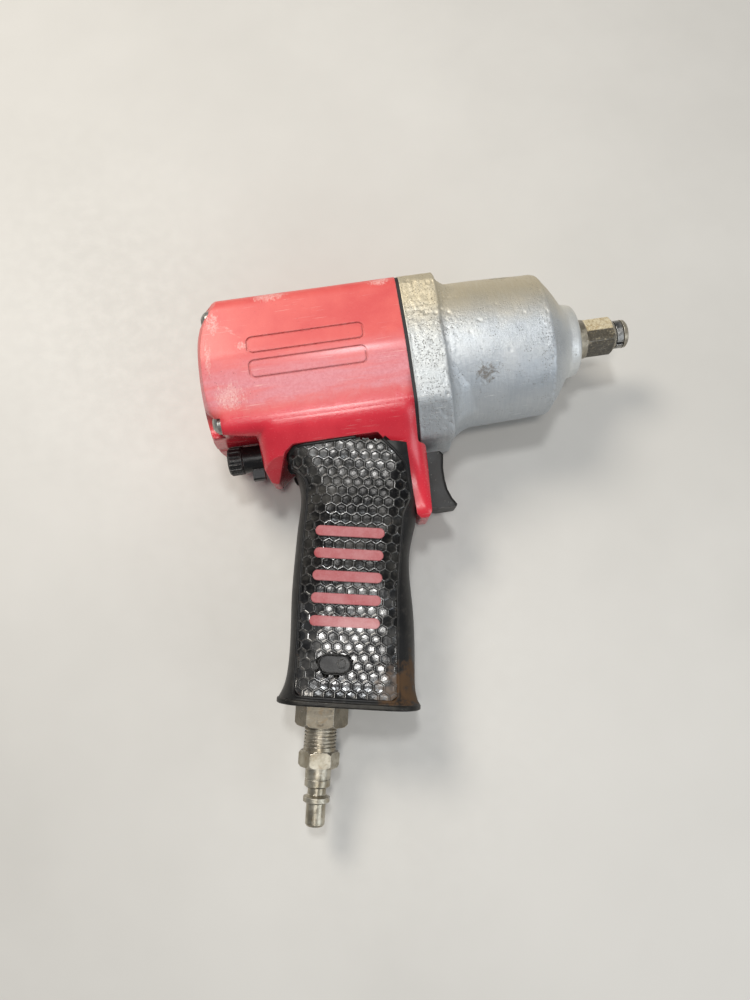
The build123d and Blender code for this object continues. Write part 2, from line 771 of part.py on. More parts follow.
def hex_bar(af, s0, s1, turn=0.0):
    face = grip_plane(s0, W_INLET) * (Rot(0, 0, turn) * RegularPolygon(af / 2, 6, major_radius=False))
    return extrude(face, s1 - s0)


def cone_trim(r_small, r_big, s0, s1):
    """Short frustum along the handle, used to chamfer hexagons."""
    return loft([grip_plane(s0, W_INLET) * Circle(r_small), grip_plane(s1, W_INLET) * Circle(r_big)])


def inlet_bushing():
    nut = hex_bar(INLET_AF, INLET_S, -0.9)
    nut = nut & (cone_trim(9.9, 11.2, INLET_S, INLET_S + 1.2) + s_cyl(11.2, INLET_S + 1.2, 0.5))
    nut += s_cyl(8.55, -1.0, 16.4)
    nut -= s_cyl(6.7, INLET_S - 1.0, 4.0)
    nut -= s_cyl(5.0, 3.0, 17.0)
    for k in range(5):
        nut -= s_cyl(9.2, 3.6 + k * 2.4, 4.8 + k * 2.4) - s_cyl(8.1, 2.0, 18.0)
    return nut


def inlet_screen():
    """Domed strainer standing on the inner end of the bushing."""
    cup = s_cyl(5.2, 16.6, 27.0) - s_cyl(4.5, 16.0, 26.3)
    for k in range(4):
        cup -= grip_plane(21.5, W_INLET) * Rot(0, 0, k * 45.0) * Box(14.0, 1.0, 6.5)
    return cup


def inlet_washer():
    """Soft washer between the inlet hexagon and the base cap."""
    return s_cyl(10.2, -0.9, 0.0) - s_cyl(8.6, -2.0, 1.0)


def inlet_plug():
    """Quick-connect nipple: pipe thread, hexagon, grooved body, neck, ring and nose."""
    plug = s_cyl(PLUG_THREAD_R, PLUG_HEX_S[1] - 0.1, 2.0)
    for k in range(14):
        top = 1.4 - k * THREAD_PITCH
        plug -= s_cyl(7.6, top - 0.75, top) - s_cyl(PLUG_THREAD_R - 0.75, -24.0, 8.0)
    nut = hex_bar(PLUG_AF, PLUG_HEX_S[0], PLUG_HEX_S[1], 8.0)
    trim = cone_trim(7.6, 8.6, PLUG_HEX_S[0], PLUG_HEX_S[0] + 1.2)
    trim += s_cyl(8.6, PLUG_HEX_S[0] + 1.2, PLUG_HEX_S[1] - 1.2)
    trim += cone_trim(8.6, 7.6, PLUG_HEX_S[1] - 1.2, PLUG_HEX_S[1])
    plug += nut & trim
    plug += s_cyl(5.25, -33.2, -25.7)
    plug += cone_trim(4.4, 5.25, -33.8, -33.2)
    plug -= s_cyl(6.5, -30.6, -30.1) - s_cyl(4.85, -32.0, -29.0)
    plug += s_cyl(3.75, -38.0, -33.0)
    plug += cone_trim(5.0, 3.75, -37.4, -36.4)
    plug += s_cyl(5.4, -39.2, -37.4)
    plug += cone_trim(4.6, 5.4, -39.7, -39.2)
    plug += s_cyl(NOSE_R, -47.9, -39.5)
    plug += cone_trim(3.3, NOSE_R, NOSE_S, -47.9)
    plug -= s_cyl(2.5, NOSE_S - 1.0, 6.0)
    return plug


# ---- fasteners -----------------------------------------------------------
def case_screws():
    """Button-head screws from the rear corners into the hammer case lugs."""
    screws = []
    under = SCREW_SEAT - WASHER_T
    for y, z in SCREWS:
        head = turned([
            (under, 0.0),
            (under, HEAD_R),
            (under - 1.2, HEAD_R),
            (under - 2.4, HEAD_R - 0.9),
            (under - HEAD_L, HEAD_R - 2.2),
            (under - HEAD_L, 0.0),
        ])
        screw = Pos(0, y, z) * head
        screw += x_cyl(SCREW_R, under - 0.1, X_CASE + 10.5, y, z)
        tool_hole = across_x(under - HEAD_L - 0.1) * Pos(y, z) * RegularPolygon(1.8, 6)
        screw -= extrude(tool_hole, 2.4)
        screws.append(screw)
    return screws


def case_washers():
    washers = []
    for y, z in SCREWS:
        washers.append(x_ring(4.9, SCREW_R + 0.1, SCREW_SEAT - WASHER_T, SCREW_SEAT, y, z))
    return washers


# ---- assemble and write --------------------------------------------------
def build():
    nodes = {}
    outer = grip_outer()
    core = grip_core()
    red = red_shell()
    nodes["motor_housing"] = motor_housing(core, red)

    sleeve = outer - core - red
    sleeve -= block(-8.2, 4.0, -69.3, -40.0, -8.0, 8.0)
    sleeve -= x_cyl(4.0, -21.0, 2.0, Y_TRIGGER)
    sleeve -= x_cyl(5.4, -80.0, -27.0, Y_KNOB)
    sleeve -= block(-9.3, 8.0, -69.0, -28.0, -40.0, 40.0)
    sleeve = max(sleeve.solids(), key=lambda solid: solid.volume)
    grip = sleeve
    raised = grip_loft(GRIP_SECTIONS, -0.7) - core - red
    for side, name in ((1, "right"), (-1, "left")):
        grip -= panel_prism(0.0, side)
        insert = sleeve & panel_prism(-WALL_GAP, side)
        insert -= oval_prism(side, OVAL[0], OVAL[1], PANEL_FLOOR + 3.4, 12.0)
        shown = []
        for bar in accent_bars(side):
            insert -= bar
            shown.append(bar & raised)
        nodes["grip_panel_" + name] = insert
        nodes["accent_bars_" + name] = shown
        stud = oval_prism(side, OVAL[0] - 0.4, OVAL[1] - 0.4, PANEL_FLOOR + 3.4, 1.2)
        stud_at = grip_point(16.7, -3.4)
        top = PANEL_FLOOR + 4.5
        stud += Pos(stud_at[0], stud_at[1], side * (top + 0.6)) * Cylinder(1.6, 1.4)
        nodes["oval_insert_" + name] = stud
    nodes["grip_overmould"] = grip

    nodes["case_gasket"] = case_gasket()
    nodes["hammer_case"] = hammer_case()
    nodes["anvil_bushing"] = anvil_bushing()
    nodes["anvil"] = anvil()
    nodes["friction_ring"] = friction_ring()
    nodes["retainer_oring"] = retainer_oring()
    nodes["hammer_cage"] = hammer_cage()
    nodes["hammer_rear"] = hammer(HAMMER_X[0][0], HAMMER_X[0][1], 1)
    nodes["hammer_front"] = hammer(HAMMER_X[1][0], HAMMER_X[1][1], -1)
    nodes["hammer_pin_upper"] = hammer_pin(1)
    nodes["hammer_pin_lower"] = hammer_pin(-1)
    nodes["cylinder"] = cylinder()
    nodes["rotor"] = rotor()
    nodes["rotor_vanes"] = rotor_vanes()
    nodes["rear_end_plate"] = rear_end_plate()
    nodes["front_end_plate"] = front_end_plate()
    nodes["rear_bearing"] = bearing(X_STACK, X_CYL[0] - 2.0, 5.0, 13.0)
    nodes["front_bearing"] = bearing(X_CYL[1] + 2.0, X_FRONT_PLATE_END, 7.5, 16.0)
    nodes["regulator_knob"] = regulator_knob()
    nodes["reverse_valve"] = reverse_valve()
    nodes["reverse_bushing"] = reverse_bushing()
    nodes["knob_screw"] = knob_screw()
    nodes["detent_ball"] = detent_ball()
    nodes["detent_spring"] = detent_spring()
    nodes["trigger"] = trigger()
    nodes["trigger_pin"] = trigger_pin()
    nodes["pin_bushing"] = pin_bushing()
    nodes["throttle_seat"] = throttle_seat()
    nodes["throttle_valve"] = throttle_valve()
    nodes["throttle_spring"] = throttle_spring()
    nodes["base_cap"] = base_cap()
    nodes["exhaust_muffler"] = exhaust_muffler()
    nodes["inlet_bushing"] = inlet_bushing()
    nodes["inlet_screen"] = inlet_screen()
    nodes["inlet_washer"] = inlet_washer()
    nodes["inlet_plug"] = inlet_plug()
    nodes["case_screws"] = case_screws()
    nodes["case_washers"] = case_washers()
    return nodes


REST = Pos(-ORIGIN[0], -ORIGIN[1], R_BODY) * Rot(REST_TILT, 0, 0)

if __name__ == "__main__":
    os.makedirs("parts", exist_ok=True)
    for name, shape in build().items():
        if isinstance(shape, (list, tuple)):
            solids = []
            for item in shape:
                solids += list((REST * item).solids())
        else:
            solids = list((REST * shape).solids())
        node = Compound(label=name, children=solids) if len(solids) > 1 else solids[0]
        node.label = name
        export_step(node, "parts/" + name + ".step")
        print(name, len(solids), round(sum(s.volume for s in solids)))
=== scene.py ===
import json
import math
import random

import bpy
from mathutils import Matrix, Vector, noise
from mathutils.bvhtree import BVHTree


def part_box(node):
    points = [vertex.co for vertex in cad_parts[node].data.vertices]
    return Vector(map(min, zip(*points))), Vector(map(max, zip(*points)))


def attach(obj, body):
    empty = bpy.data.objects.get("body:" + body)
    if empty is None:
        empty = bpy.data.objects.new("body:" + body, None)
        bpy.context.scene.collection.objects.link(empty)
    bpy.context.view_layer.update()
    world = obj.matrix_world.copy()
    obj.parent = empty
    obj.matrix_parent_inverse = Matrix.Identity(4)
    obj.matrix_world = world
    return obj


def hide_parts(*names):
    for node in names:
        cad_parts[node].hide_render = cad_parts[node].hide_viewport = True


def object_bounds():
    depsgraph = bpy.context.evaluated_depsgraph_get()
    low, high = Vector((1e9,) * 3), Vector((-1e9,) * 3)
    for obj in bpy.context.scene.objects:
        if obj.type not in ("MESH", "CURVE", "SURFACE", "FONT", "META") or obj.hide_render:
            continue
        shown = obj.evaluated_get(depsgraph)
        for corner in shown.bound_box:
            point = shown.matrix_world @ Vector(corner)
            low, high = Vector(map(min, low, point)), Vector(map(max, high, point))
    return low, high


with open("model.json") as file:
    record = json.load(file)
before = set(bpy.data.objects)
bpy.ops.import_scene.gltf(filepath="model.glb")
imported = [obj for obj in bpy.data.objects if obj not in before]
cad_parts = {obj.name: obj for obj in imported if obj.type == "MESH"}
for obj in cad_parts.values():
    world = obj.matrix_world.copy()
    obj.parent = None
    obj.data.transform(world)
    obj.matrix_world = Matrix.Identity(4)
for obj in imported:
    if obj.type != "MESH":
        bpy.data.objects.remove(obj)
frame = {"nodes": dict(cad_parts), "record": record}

# Looks of a pistol-grip air impact wrench: a worn finish for every CAD node, a dented skin
# for the hammer case, and honeycomb panels, beads and an oval rim on each side of the grip.
cad_lo, cad_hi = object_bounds()
nodes = frame["nodes"]
mounts = {m["name"]: m for m in frame["record"]["mounts"]}

# ---- tool frame ---------------------------------------------------------------
# X along the shaft, Y away from the handle, Z out of the right side, in millimetres,
# as the part is designed. T takes it to the row frame.
MM = 0.001
DRIVE_X = 84.2   # X of the record's square_drive mount in the tool frame
drive = mounts["square_drive"]["pos_m"]
plug_axis = Vector(mounts["air_plug_nose"]["axis"])
TILT = math.atan2(-plug_axis.z, -plug_axis.y)
RAKE = math.asin(-plug_axis.x)
HOME = Vector((drive[0] - DRIVE_X * MM, drive[1], drive[2]))
T = Matrix.Translation(HOME) @ Matrix.Rotation(TILT, 4, "X") @ Matrix.Scale(MM, 4)
T_BACK = T.inverted()
TURN = T.to_3x3().normalized()

BASE = (-48.0, -142.0)   # middle of the handle's foot
SIN_R, COS_R = math.sin(RAKE), math.cos(RAKE)


def raked(along, across):
    """A step up the handle and one towards the trigger, as a step in X and Y."""
    return (SIN_R * along + COS_R * across, COS_R * along - SIN_R * across)


def grip_point(s, w):
    """X and Y of a point s up the handle from its foot and w forward of its middle line."""
    dx, dy = raked(s, w)
    return (BASE[0] + dx, BASE[1] + dy)


def srgb(r, g, b):
    """Linear colour of a 0 to 255 display colour."""
    def one(v):
        v /= 255.0
        return v / 12.92 if v <= 0.04045 else ((v + 0.055) / 1.055) ** 2.4
    return (one(r), one(g), one(b), 1.0)


# ---- material helpers -----------------------------------------------------------
class Nodes:
    """Small shorthand for building a shader tree."""

    def __init__(self, name):
        self.mat = bpy.data.materials.new(name)
        self.mat.use_nodes = True
        self.tree = self.mat.node_tree
        self.bsdf = self.tree.nodes["Principled BSDF"]

    def node(self, kind, **sets):
        n = self.tree.nodes.new(kind)
        for k, v in sets.items():
            setattr(n, k, v)
        return n

    def put(self, socket, value):
        if isinstance(value, bpy.types.NodeSocket):
            self.tree.links.new(value, socket)
        elif value is not None:
            socket.default_value = value

    def tool(self):
        """Object coordinates turned into tool millimetres, so finishes follow the design."""
        coord = self.node("ShaderNodeTexCoord").outputs["Object"]
        back = -(TURN.transposed() @ HOME) / MM
        return self.mapping("POINT", coord, back, (-TILT, 0, 0), (1 / MM, 1 / MM, 1 / MM))

    def mapping(self, kind, vec, place, turn, scale):
        m = self.node("ShaderNodeMapping", vector_type=kind)
        self.put(m.inputs["Vector"], vec)
        m.inputs["Location"].default_value = place
        m.inputs["Rotation"].default_value = turn
        m.inputs["Scale"].default_value = scale
        return m.outputs[0]

    def stretch(self, vec, scale, turn=(0, 0, 0)):
        """Coordinates scaled axis by axis, then turned, for drawn-out patterns."""
        return self.mapping("POINT", vec, (0, 0, 0), turn, scale)

    def noise(self, vec, scale, detail=4.0, rough=0.55, distort=0.0):
        n = self.node("ShaderNodeTexNoise")
        self.put(n.inputs["Vector"], vec)
        n.inputs["Scale"].default_value = scale
        n.inputs["Detail"].default_value = detail
        n.inputs["Roughness"].default_value = rough
        n.inputs["Distortion"].default_value = distort
        return n.outputs["Fac"]

    def cells(self, vec, scale):
        n = self.node("ShaderNodeTexVoronoi", feature="F1")
        self.put(n.inputs["Vector"], vec)
        n.inputs["Scale"].default_value = scale
        return n.outputs["Distance"]

    def axis(self, vec):
        n = self.node("ShaderNodeSeparateXYZ")
        self.put(n.inputs[0], vec)
        return n.outputs[0], n.outputs[1], n.outputs[2]

    def math(self, op, *values):
        n = self.node("ShaderNodeMath", operation=op)
        for socket, value in zip(n.inputs, values):
            self.put(socket, value)
        return n.outputs[0]

    def plus(self, a, b):
        return self.math("ADD", a, b)

    def minus(self, a, b):
        return self.math("SUBTRACT", a, b)

    def times(self, a, b):
        return self.math("MULTIPLY", a, b)

    def most(self, first, *others):
        """The largest of several masks at each place."""
        for other in others:
            first = self.math("MAXIMUM", first, other)
        return first

    def range(self, value, lo, hi, to_lo=0.0, to_hi=1.0):
        """Smooth step between two values, held outside them."""
        n = self.node("ShaderNodeMapRange", clamp=True, interpolation_type="SMOOTHSTEP")
        self.put(n.inputs["Value"], value)
        n.inputs["From Min"].default_value = lo
        n.inputs["From Max"].default_value = hi
        n.inputs["To Min"].default_value = to_lo
        n.inputs["To Max"].default_value = to_hi
        return n.outputs["Result"]

    def mix(self, fac, a, b):
        """Colour a where the factor is 0 and b where it is 1."""
        n = self.node("ShaderNodeMix", data_type="RGBA")
        self.put(n.inputs[0], fac)
        self.put(n.inputs[6], a)
        self.put(n.inputs[7], b)
        return n.outputs[2]

    def paint(self, color, mask, amount, over):
        """Lay a colour over another one where a mask is, at a strength."""
        return self.mix(self.times(mask, amount), color, srgb(*over))

    def near(self, vec, centre, reach, squeeze=(1, 1, 1)):
        """1 at a place on the tool, falling to 0 at a distance from it."""
        n = self.node("ShaderNodeVectorMath", operation="SUBTRACT")
        self.put(n.inputs[0], vec)
        n.inputs[1].default_value = centre
        m = self.node("ShaderNodeVectorMath", operation="MULTIPLY")
        self.put(m.inputs[0], n.outputs[0])
        m.inputs[1].default_value = squeeze
        d = self.node("ShaderNodeVectorMath", operation="LENGTH")
        self.put(d.inputs[0], m.outputs[0])
        return self.range(d.outputs["Value"], 0.0, reach, 1.0, 0.0)

    def spot(self, vec, centre, size, turn=(0, 0, 0)):
        """1 in the middle of a stretched, turned patch of the tool, 0 at its rim."""
        d = self.node("ShaderNodeVectorMath", operation="LENGTH")
        self.put(d.inputs[0], self.mapping("TEXTURE", vec, centre, turn, size))
        return self.range(d.outputs["Value"], 0.0, 1.0, 1.0, 0.0)

    def streaks(self, vec, turn, long, fine, lo, hi, patch=0.05, patch_lo=0.5):
        """Thin scratches running one way, in scattered patches."""
        lines = self.noise(self.stretch(vec, (long, fine, fine), turn), 1.0, 2.0, 0.6)
        where = self.noise(vec, patch, 2.0)
        patches = self.range(where, patch_lo, patch_lo + 0.12)
        return self.times(self.range(lines, lo, hi), patches)

    def edges(self, radius, lo=0.02, hi=0.2):
        """Rounded normal, and a mask of the edges where it leaves the flat one."""
        bevel = self.node("ShaderNodeBevel", samples=4)
        self.put(bevel.inputs["Radius"], radius)
        flat = self.node("ShaderNodeNewGeometry").outputs["Normal"]
        dot = self.node("ShaderNodeVectorMath", operation="DOT_PRODUCT")
        self.put(dot.inputs[0], bevel.outputs[0])
        self.put(dot.inputs[1], flat)
        bend = self.minus(1.0, dot.outputs["Value"])
        return bevel.outputs[0], self.range(bend, lo, hi)

    def bump(self, height, strength, distance, normal=None):
        n = self.node("ShaderNodeBump")
        n.inputs["Strength"].default_value = strength
        n.inputs["Distance"].default_value = distance
        self.put(n.inputs["Height"], height)
        if normal is not None:
            self.put(n.inputs["Normal"], normal)
        return n.outputs[0]

    def finish(self, color, rough, normal=None, metal=0.0, coat=0.0, coat_rough=0.1, spec=0.5):
        b = self.bsdf
        self.put(b.inputs["Base Color"], color)
        self.put(b.inputs["Roughness"], rough)
        self.put(b.inputs["Metallic"], metal)
        if normal is not None:
            self.put(b.inputs["Normal"], normal)
        b.inputs["Coat Weight"].default_value = coat
        b.inputs["Coat Roughness"].default_value = coat_rough
        b.inputs["Specular IOR Level"].default_value = spec
        return self.mat


# ---- materials ---------------------------------------------------------------------
# Places and sizes of marks are in tool millimetres: X, Y and Z of the centre, then the
# half sizes of the patch.
SCUFFS = (
    ((-57.0, 27.0, 28.0), (15.0, 6.5, 12.0)),      # top edge behind the middle
    ((-11.0, 27.0, 28.0), (11.0, 5.5, 12.0)),      # top edge beside the gasket
    ((-50.0, 27.0, -28.0), (14.0, 6.0, 12.0)),     # top edge of the left side
    ((-81.0, 17.0, 28.0), (8.0, 14.0, 12.0)),      # upper rear corner
    ((-77.0, -14.0, 29.5), (15.0, 13.0, 12.0)),    # lower rear of the side
    ((-70.0, 6.0, 32.0), (6.0, 4.0, 9.0)),         # side, near the rear
    ((-36.0, 29.5, 25.0), (34.0, 3.0, 8.0)),       # all along the top edge
    ((-80.0, -14.0, -29.0), (12.0, 12.0, 12.0)),   # lower rear of the left side
    ((-84.0, 2.0, 29.0), (4.0, 24.0, 12.0)),       # rear edge
)
STROKE = ((-73.5, 12.5, 29.0), (11.0, 1.7, 9.0), (0, 0, -0.78))   # one slanting scuff
PITTED = ((-78.0, -14.0, 26.0), 20.0)   # middle of the most pitted place, and its reach
POCKET = (-88.0, 22.2)   # X of the screw pockets, and how far up and out they are
POCKET_SIZE = (15.0, 7.4, 7.4)
BARREL_STAIN = ((27.0, -18.0, 27.0), (8.0, 10.0, 10.0), (0, 0, 0.4))
TOP_STAIN = ((42.0, 27.0, 14.0), 9.0, (0.7, 1.4, 0.8))
FLANGE_STAIN = ((10.5, 3.0, 31.0), (4.0, 13.0, 10.0))
GRIP_DIRT = ((-24.0, -138.0, 14.0), 24.0, (1.0, 1.2, 0.6))   # lower front of the grip
THREAD_DIRT = ((-61.5, -154.0, 0.0), 10.0, (0.5, 1.0, 0.4))


def red_composite():
    n = Nodes("red_composite")
    p = n.tool()
    x, y, z = n.axis(p)
    # the crease between body and skirt is softened by a wider bevel
    hollow = n.times(n.range(y, -12.0, -18.0), n.range(y, -34.0, -28.0))
    hollow = n.times(hollow, n.range(n.math("ABSOLUTE", z), 14.0, 20.0))
    normal, edge = n.edges(0.0009, 0.01, 0.12)
    soft = n.edges(0.005)[0]
    blend = n.node("ShaderNodeMix", data_type="VECTOR")
    n.put(blend.inputs[0], hollow)
    n.put(blend.inputs[4], normal)
    n.put(blend.inputs[5], soft)
    normal = blend.outputs[1]
    edge = n.times(edge, n.minus(1.0, n.times(hollow, 0.9)))
    broad = n.noise(p, 0.035, 4.0, 0.6, 0.4)
    fine = n.noise(p, 0.9, 6.0, 0.65)
    speck = n.noise(p, 3.2, 3.0, 0.7)
    # dusty film on the upper body, clean glossy red below it, with a ragged border
    ragged = n.math("MULTIPLY_ADD", n.noise(p, 0.13, 6.0, 0.7, 0.8), 9.0, -4.5)
    level = n.plus(y, ragged)
    level = n.plus(level, n.times(n.math("ABSOLUTE", z), 0.08))
    film = n.range(level, -22.5, -16.5)
    haze = n.times(n.range(level, -20.0, -13.0), n.range(level, 8.0, -8.0))
    streaky = n.noise(n.stretch(p, (0.04, 0.3, 0.1), (0, 0, 0.12)), 1.0, 4.0, 0.6)
    haze = n.times(haze, n.range(streaky, 0.25, 0.6, 0.35, 1.0))
    deep = n.mix(n.range(broad, 0.35, 0.7), srgb(202, 38, 54), srgb(216, 54, 66))
    dusty = n.mix(n.range(broad, 0.3, 0.7), srgb(206, 74, 72), srgb(218, 96, 88))
    hazy = n.mix(n.range(fine, 0.3, 0.7), srgb(200, 110, 118), srgb(212, 134, 140))
    color = n.mix(n.times(film, 0.92), deep, dusty)
    color = n.mix(n.times(haze, 0.95), color, hazy)
    dust = n.times(n.range(speck, 0.58, 0.72), n.times(film, 0.22))
    color = n.mix(dust, color, srgb(236, 178, 170))
    # ragged pale scuffs
    scuff_at = n.most(*[n.spot(p, at, size) for at, size in SCUFFS])
    hatch = n.noise(n.stretch(p, (0.95, 0.35, 0.5), (0, 0, 0.9)), 1.0, 6.0, 0.75, 0.6)
    scuff = n.range(n.plus(hatch, n.times(scuff_at, 0.5)), 0.76, 0.94)
    torn = n.noise(n.stretch(p, (0.5, 1.6, 1.0), (0, 0, 0.78)), 1.0, 5.0, 0.7, 0.3)
    torn = n.plus(torn, n.times(n.spot(p, *STROKE), 0.4))
    scuff = n.most(scuff, n.range(torn, 0.66, 0.86, 0.0, 0.7))
    torn_up = n.range(n.noise(p, 1.4, 4.0, 0.75), 0.36, 0.62, 0.15, 1.0)
    color = n.mix(n.times(scuff, n.times(torn_up, 0.72)), color, srgb(232, 192, 184))
    # scratches
    lines = n.most(n.streaks(p, (0, 0, 0.35), 0.05, 2.6, 0.66, 0.72, 0.06, 0.46),
                   n.streaks(p, (0, 0, -0.75), 0.07, 2.0, 0.68, 0.73, 0.05, 0.5),
                   n.streaks(p, (0, 0, 1.35), 0.06, 2.2, 0.69, 0.74, 0.045, 0.52))
    color = n.paint(color, lines, 0.5, (240, 188, 180))
    # dark specks and pits, most at the lower rear
    pit_at = n.near(p, *PITTED)
    pits = n.range(n.minus(n.cells(p, 0.75), n.times(pit_at, 0.1)), 0.13, 0.05)
    pits = n.times(pits, n.range(n.noise(p, 0.11, 2.0), 0.5, 0.62))
    color = n.paint(color, pits, 0.6, (112, 30, 34))
    # rubbed edges, palest at the rear corners
    rub = n.times(edge, n.range(n.noise(p, 0.5, 4.0, 0.7), 0.34, 0.6))
    color = n.paint(color, rub, 0.6, (240, 150, 145))
    upper = n.range(n.plus(y, n.times(broad, 12.0)), 18.0, 34.0)
    upper = n.times(upper, n.range(x, -78.0, -86.0))
    worn = n.range(n.plus(n.noise(p, 0.3, 5.0, 0.7), n.times(upper, 0.2)), 0.64, 0.82)
    color = n.mix(n.times(worn, n.times(upper, 0.6)), color, srgb(208, 160, 142))
    # painted shade in the screw pockets, darkened nearly to black
    rear, off = POCKET
    for up in (off, -off):
        for out in (off, -off):
            pocket_shade = n.range(n.spot(p, (rear, up, out), POCKET_SIZE), 0.3, 0.75)
            pocket_shade = n.times(pocket_shade, n.range(fine, 0.25, 0.6, 0.6, 0.95))
            color = n.mix(pocket_shade, color, srgb(46, 20, 20))
    grime = n.times(n.range(y, -118.0, -134.0), 0.5)
    color = n.mix(grime, color, srgb(70, 26, 24))
    rough = n.plus(n.range(film, 0.0, 1.0, 0.2, 0.42), n.times(fine, 0.12))
    rough = n.plus(rough, n.times(scuff, 0.2))
    height = n.plus(n.times(fine, 0.5), n.times(speck, 0.25))
    height = n.minus(height, n.times(pits, 1.2))
    height = n.minus(height, n.times(lines, 0.5))
    height = n.minus(height, n.times(scuff, 0.35))
    return n.finish(color, rough, n.bump(height, 0.35, 0.00022, normal), coat=0.25, coat_rough=0.18)


def cast_aluminium():
    n = Nodes("cast_aluminium")
    p = n.tool()
    x, y = n.axis(p)[:2]
    broad = n.noise(p, 0.05, 5.0, 0.6, 0.5)
    fine = n.noise(p, 1.1, 6.0, 0.7)
    grain = n.noise(p, 4.0, 3.0, 0.7)
    turned = n.noise(n.stretch(p, (1.6, 0.12, 0.12)), 1.0, 4.0, 0.6)
    # painted warm reflection over the upper side of the case
    top_reflection = n.range(n.plus(y, n.times(broad, 14.0)), 2.0, 26.0)
    color = n.mix(n.range(broad, 0.3, 0.7), srgb(182, 187, 191), srgb(202, 204, 204))
    color = n.mix(n.range(x, 14.0, 9.0, 0.0, 0.35), color, srgb(170, 168, 158))
    color = n.paint(color, top_reflection, 0.8, (202, 186, 150))
    # painted cool shade over the lower side of the case
    color = n.mix(n.range(y, -8.0, -30.0, 0.0, 0.45), color, srgb(160, 168, 176))
    color = n.mix(n.range(turned, 0.35, 0.75, 0.0, 0.12), color, srgb(236, 236, 232))
    # brown stains: low on the barrel, near its top, and a faint one on the flange
    faint = n.times(n.spot(p, *FLANGE_STAIN), 0.5)
    stain_at = n.most(n.spot(p, *BARREL_STAIN), n.near(p, *TOP_STAIN), faint)
    blot = n.noise(p, 0.42, 6.0, 0.75, 0.6)
    stain = n.range(n.plus(blot, n.times(stain_at, 0.3)), 0.64, 0.8)
    color = n.paint(color, stain, 0.7, (112, 100, 84))
    # pits, most on the flange and along both edges of the barrel
    shoulder = n.times(n.range(x, 48.0, 55.0), n.range(x, 63.0, 58.0))
    rim = n.most(n.range(x, 22.0, 8.0), shoulder)
    where = n.plus(n.noise(p, 0.16, 3.0), n.times(rim, 0.16))
    pits = n.range(n.cells(p, 1.1), 0.3, 0.1)
    pits = n.times(pits, n.range(where, 0.52, 0.66))
    small = n.range(n.cells(p, 2.6), 0.24, 0.08)
    small = n.times(small, n.range(n.noise(p, 0.3, 2.0), 0.5, 0.6))
    color = n.paint(color, pits, 0.45, (118, 104, 84))
    color = n.paint(color, small, 0.16, (132, 124, 110))
    scratches = n.most(n.streaks(p, (0, 0, 0.2), 0.05, 2.4, 0.66, 0.71, 0.06, 0.48),
                       n.streaks(p, (0, 0, -1.1), 0.06, 2.0, 0.68, 0.73, 0.05, 0.5))
    color = n.paint(color, scratches, 0.6, (246, 246, 244))
    rough = n.plus(n.range(broad, 0.3, 0.7, 0.3, 0.42), n.times(fine, 0.16))
    rough = n.plus(rough, n.times(pits, 0.3))
    # the stepped collar is cleaner and brighter
    collar = n.range(x, 60.0, 69.0)
    color = n.paint(color, collar, 0.6, (226, 227, 224))
    rough = n.minus(rough, n.times(collar, 0.08))
    height = n.plus(n.times(fine, 0.7), n.times(grain, 0.25))
    height = n.plus(height, n.times(turned, 0.15))
    height = n.minus(height, n.times(pits, 1.6))
    height = n.minus(height, n.times(small, 0.7))
    height = n.minus(height, n.times(scratches, 0.4))
    return n.finish(color, rough, n.bump(height, 0.6, 0.00035), metal=0.6)


def black_grip(name="black_grip", pattern=False):
    """Worn black rubber; the pattern reads the ridge mark of the honeycomb mesh."""
    n = Nodes(name)
    p = n.tool()
    y = n.axis(p)[1]
    normal, edge = n.edges(0.0001 if pattern else 0.0005, 0.02, 0.2)
    broad = n.noise(p, 0.06, 4.0, 0.6)
    fine = n.noise(p, 1.3, 5.0, 0.65)
    color = n.mix(n.range(broad, 0.3, 0.7), srgb(13, 13, 14), srgb(24, 23, 22))
    dust = n.times(n.range(n.noise(p, 0.3, 5.0, 0.7), 0.5, 0.72), 0.08)
    color = n.mix(dust, color, srgb(140, 134, 124))
    # brown dirt at the lower front, and pale edges: rubbed wear, also a painted highlight along the edge
    # bead
    dirt_at = n.near(p, *GRIP_DIRT)
    dirt = n.range(n.plus(n.noise(p, 0.22, 5.0, 0.7), n.times(dirt_at, 0.34)), 0.62, 0.84)
    color = n.paint(color, dirt, 0.8, (86, 62, 38))
    rub = n.times(edge, n.range(n.noise(p, 0.6, 4.0, 0.7), 0.36, 0.6))
    color = n.paint(color, rub, 0.35, (128, 124, 118))
    if pattern:
        mark = n.node("ShaderNodeAttribute", attribute_name="ridge").outputs["Fac"]
        # paler ridge tops: rubbed wear, with a painted highlight along them
        rubbed_and_highlit = n.times(mark, n.range(fine, 0.4, 0.62, 0.1, 0.55))
        color = n.mix(rubbed_and_highlit, color, srgb(104, 102, 98))
        film = n.times(n.range(mark, 0.5, 0.0), n.range(broad, 0.45, 0.65))
        color = n.paint(color, film, 0.12, (150, 146, 138))
    low_rough = 0.13 if pattern else 0.3
    rough = n.range(broad, 0.3, 0.7, low_rough, low_rough + 0.1)
    rough = n.plus(rough, n.times(fine, 0.1))
    rough = n.plus(rough, n.times(dirt, 0.3))
    made = n.finish(color, rough, n.bump(fine, 0.25, 0.00015, normal), spec=0.3)
    if pattern:
        # oiled and shiny low down and just under the body, duller where the palm sits
        below_body = n.times(n.range(y, -58.0, -50.0), 0.5)
        oiled = n.most(n.range(y, -86.0, -104.0), below_body)
        oiled = n.times(oiled, n.range(n.noise(p, 0.12, 3.0), 0.35, 0.6, 0.35, 1.0))
        gloss = n.most(n.times(mark, n.range(fine, 0.4, 0.6, 0.4, 1.0)), oiled)
        n.put(n.bsdf.inputs["Specular IOR Level"], n.range(gloss, 0.0, 1.0, 0.16, 0.9))
        n.put(n.bsdf.inputs["Coat Weight"], n.range(gloss, 0.0, 1.0, 0.0, 0.5))
        n.bsdf.inputs["Coat Roughness"].default_value = 0.07
    return made


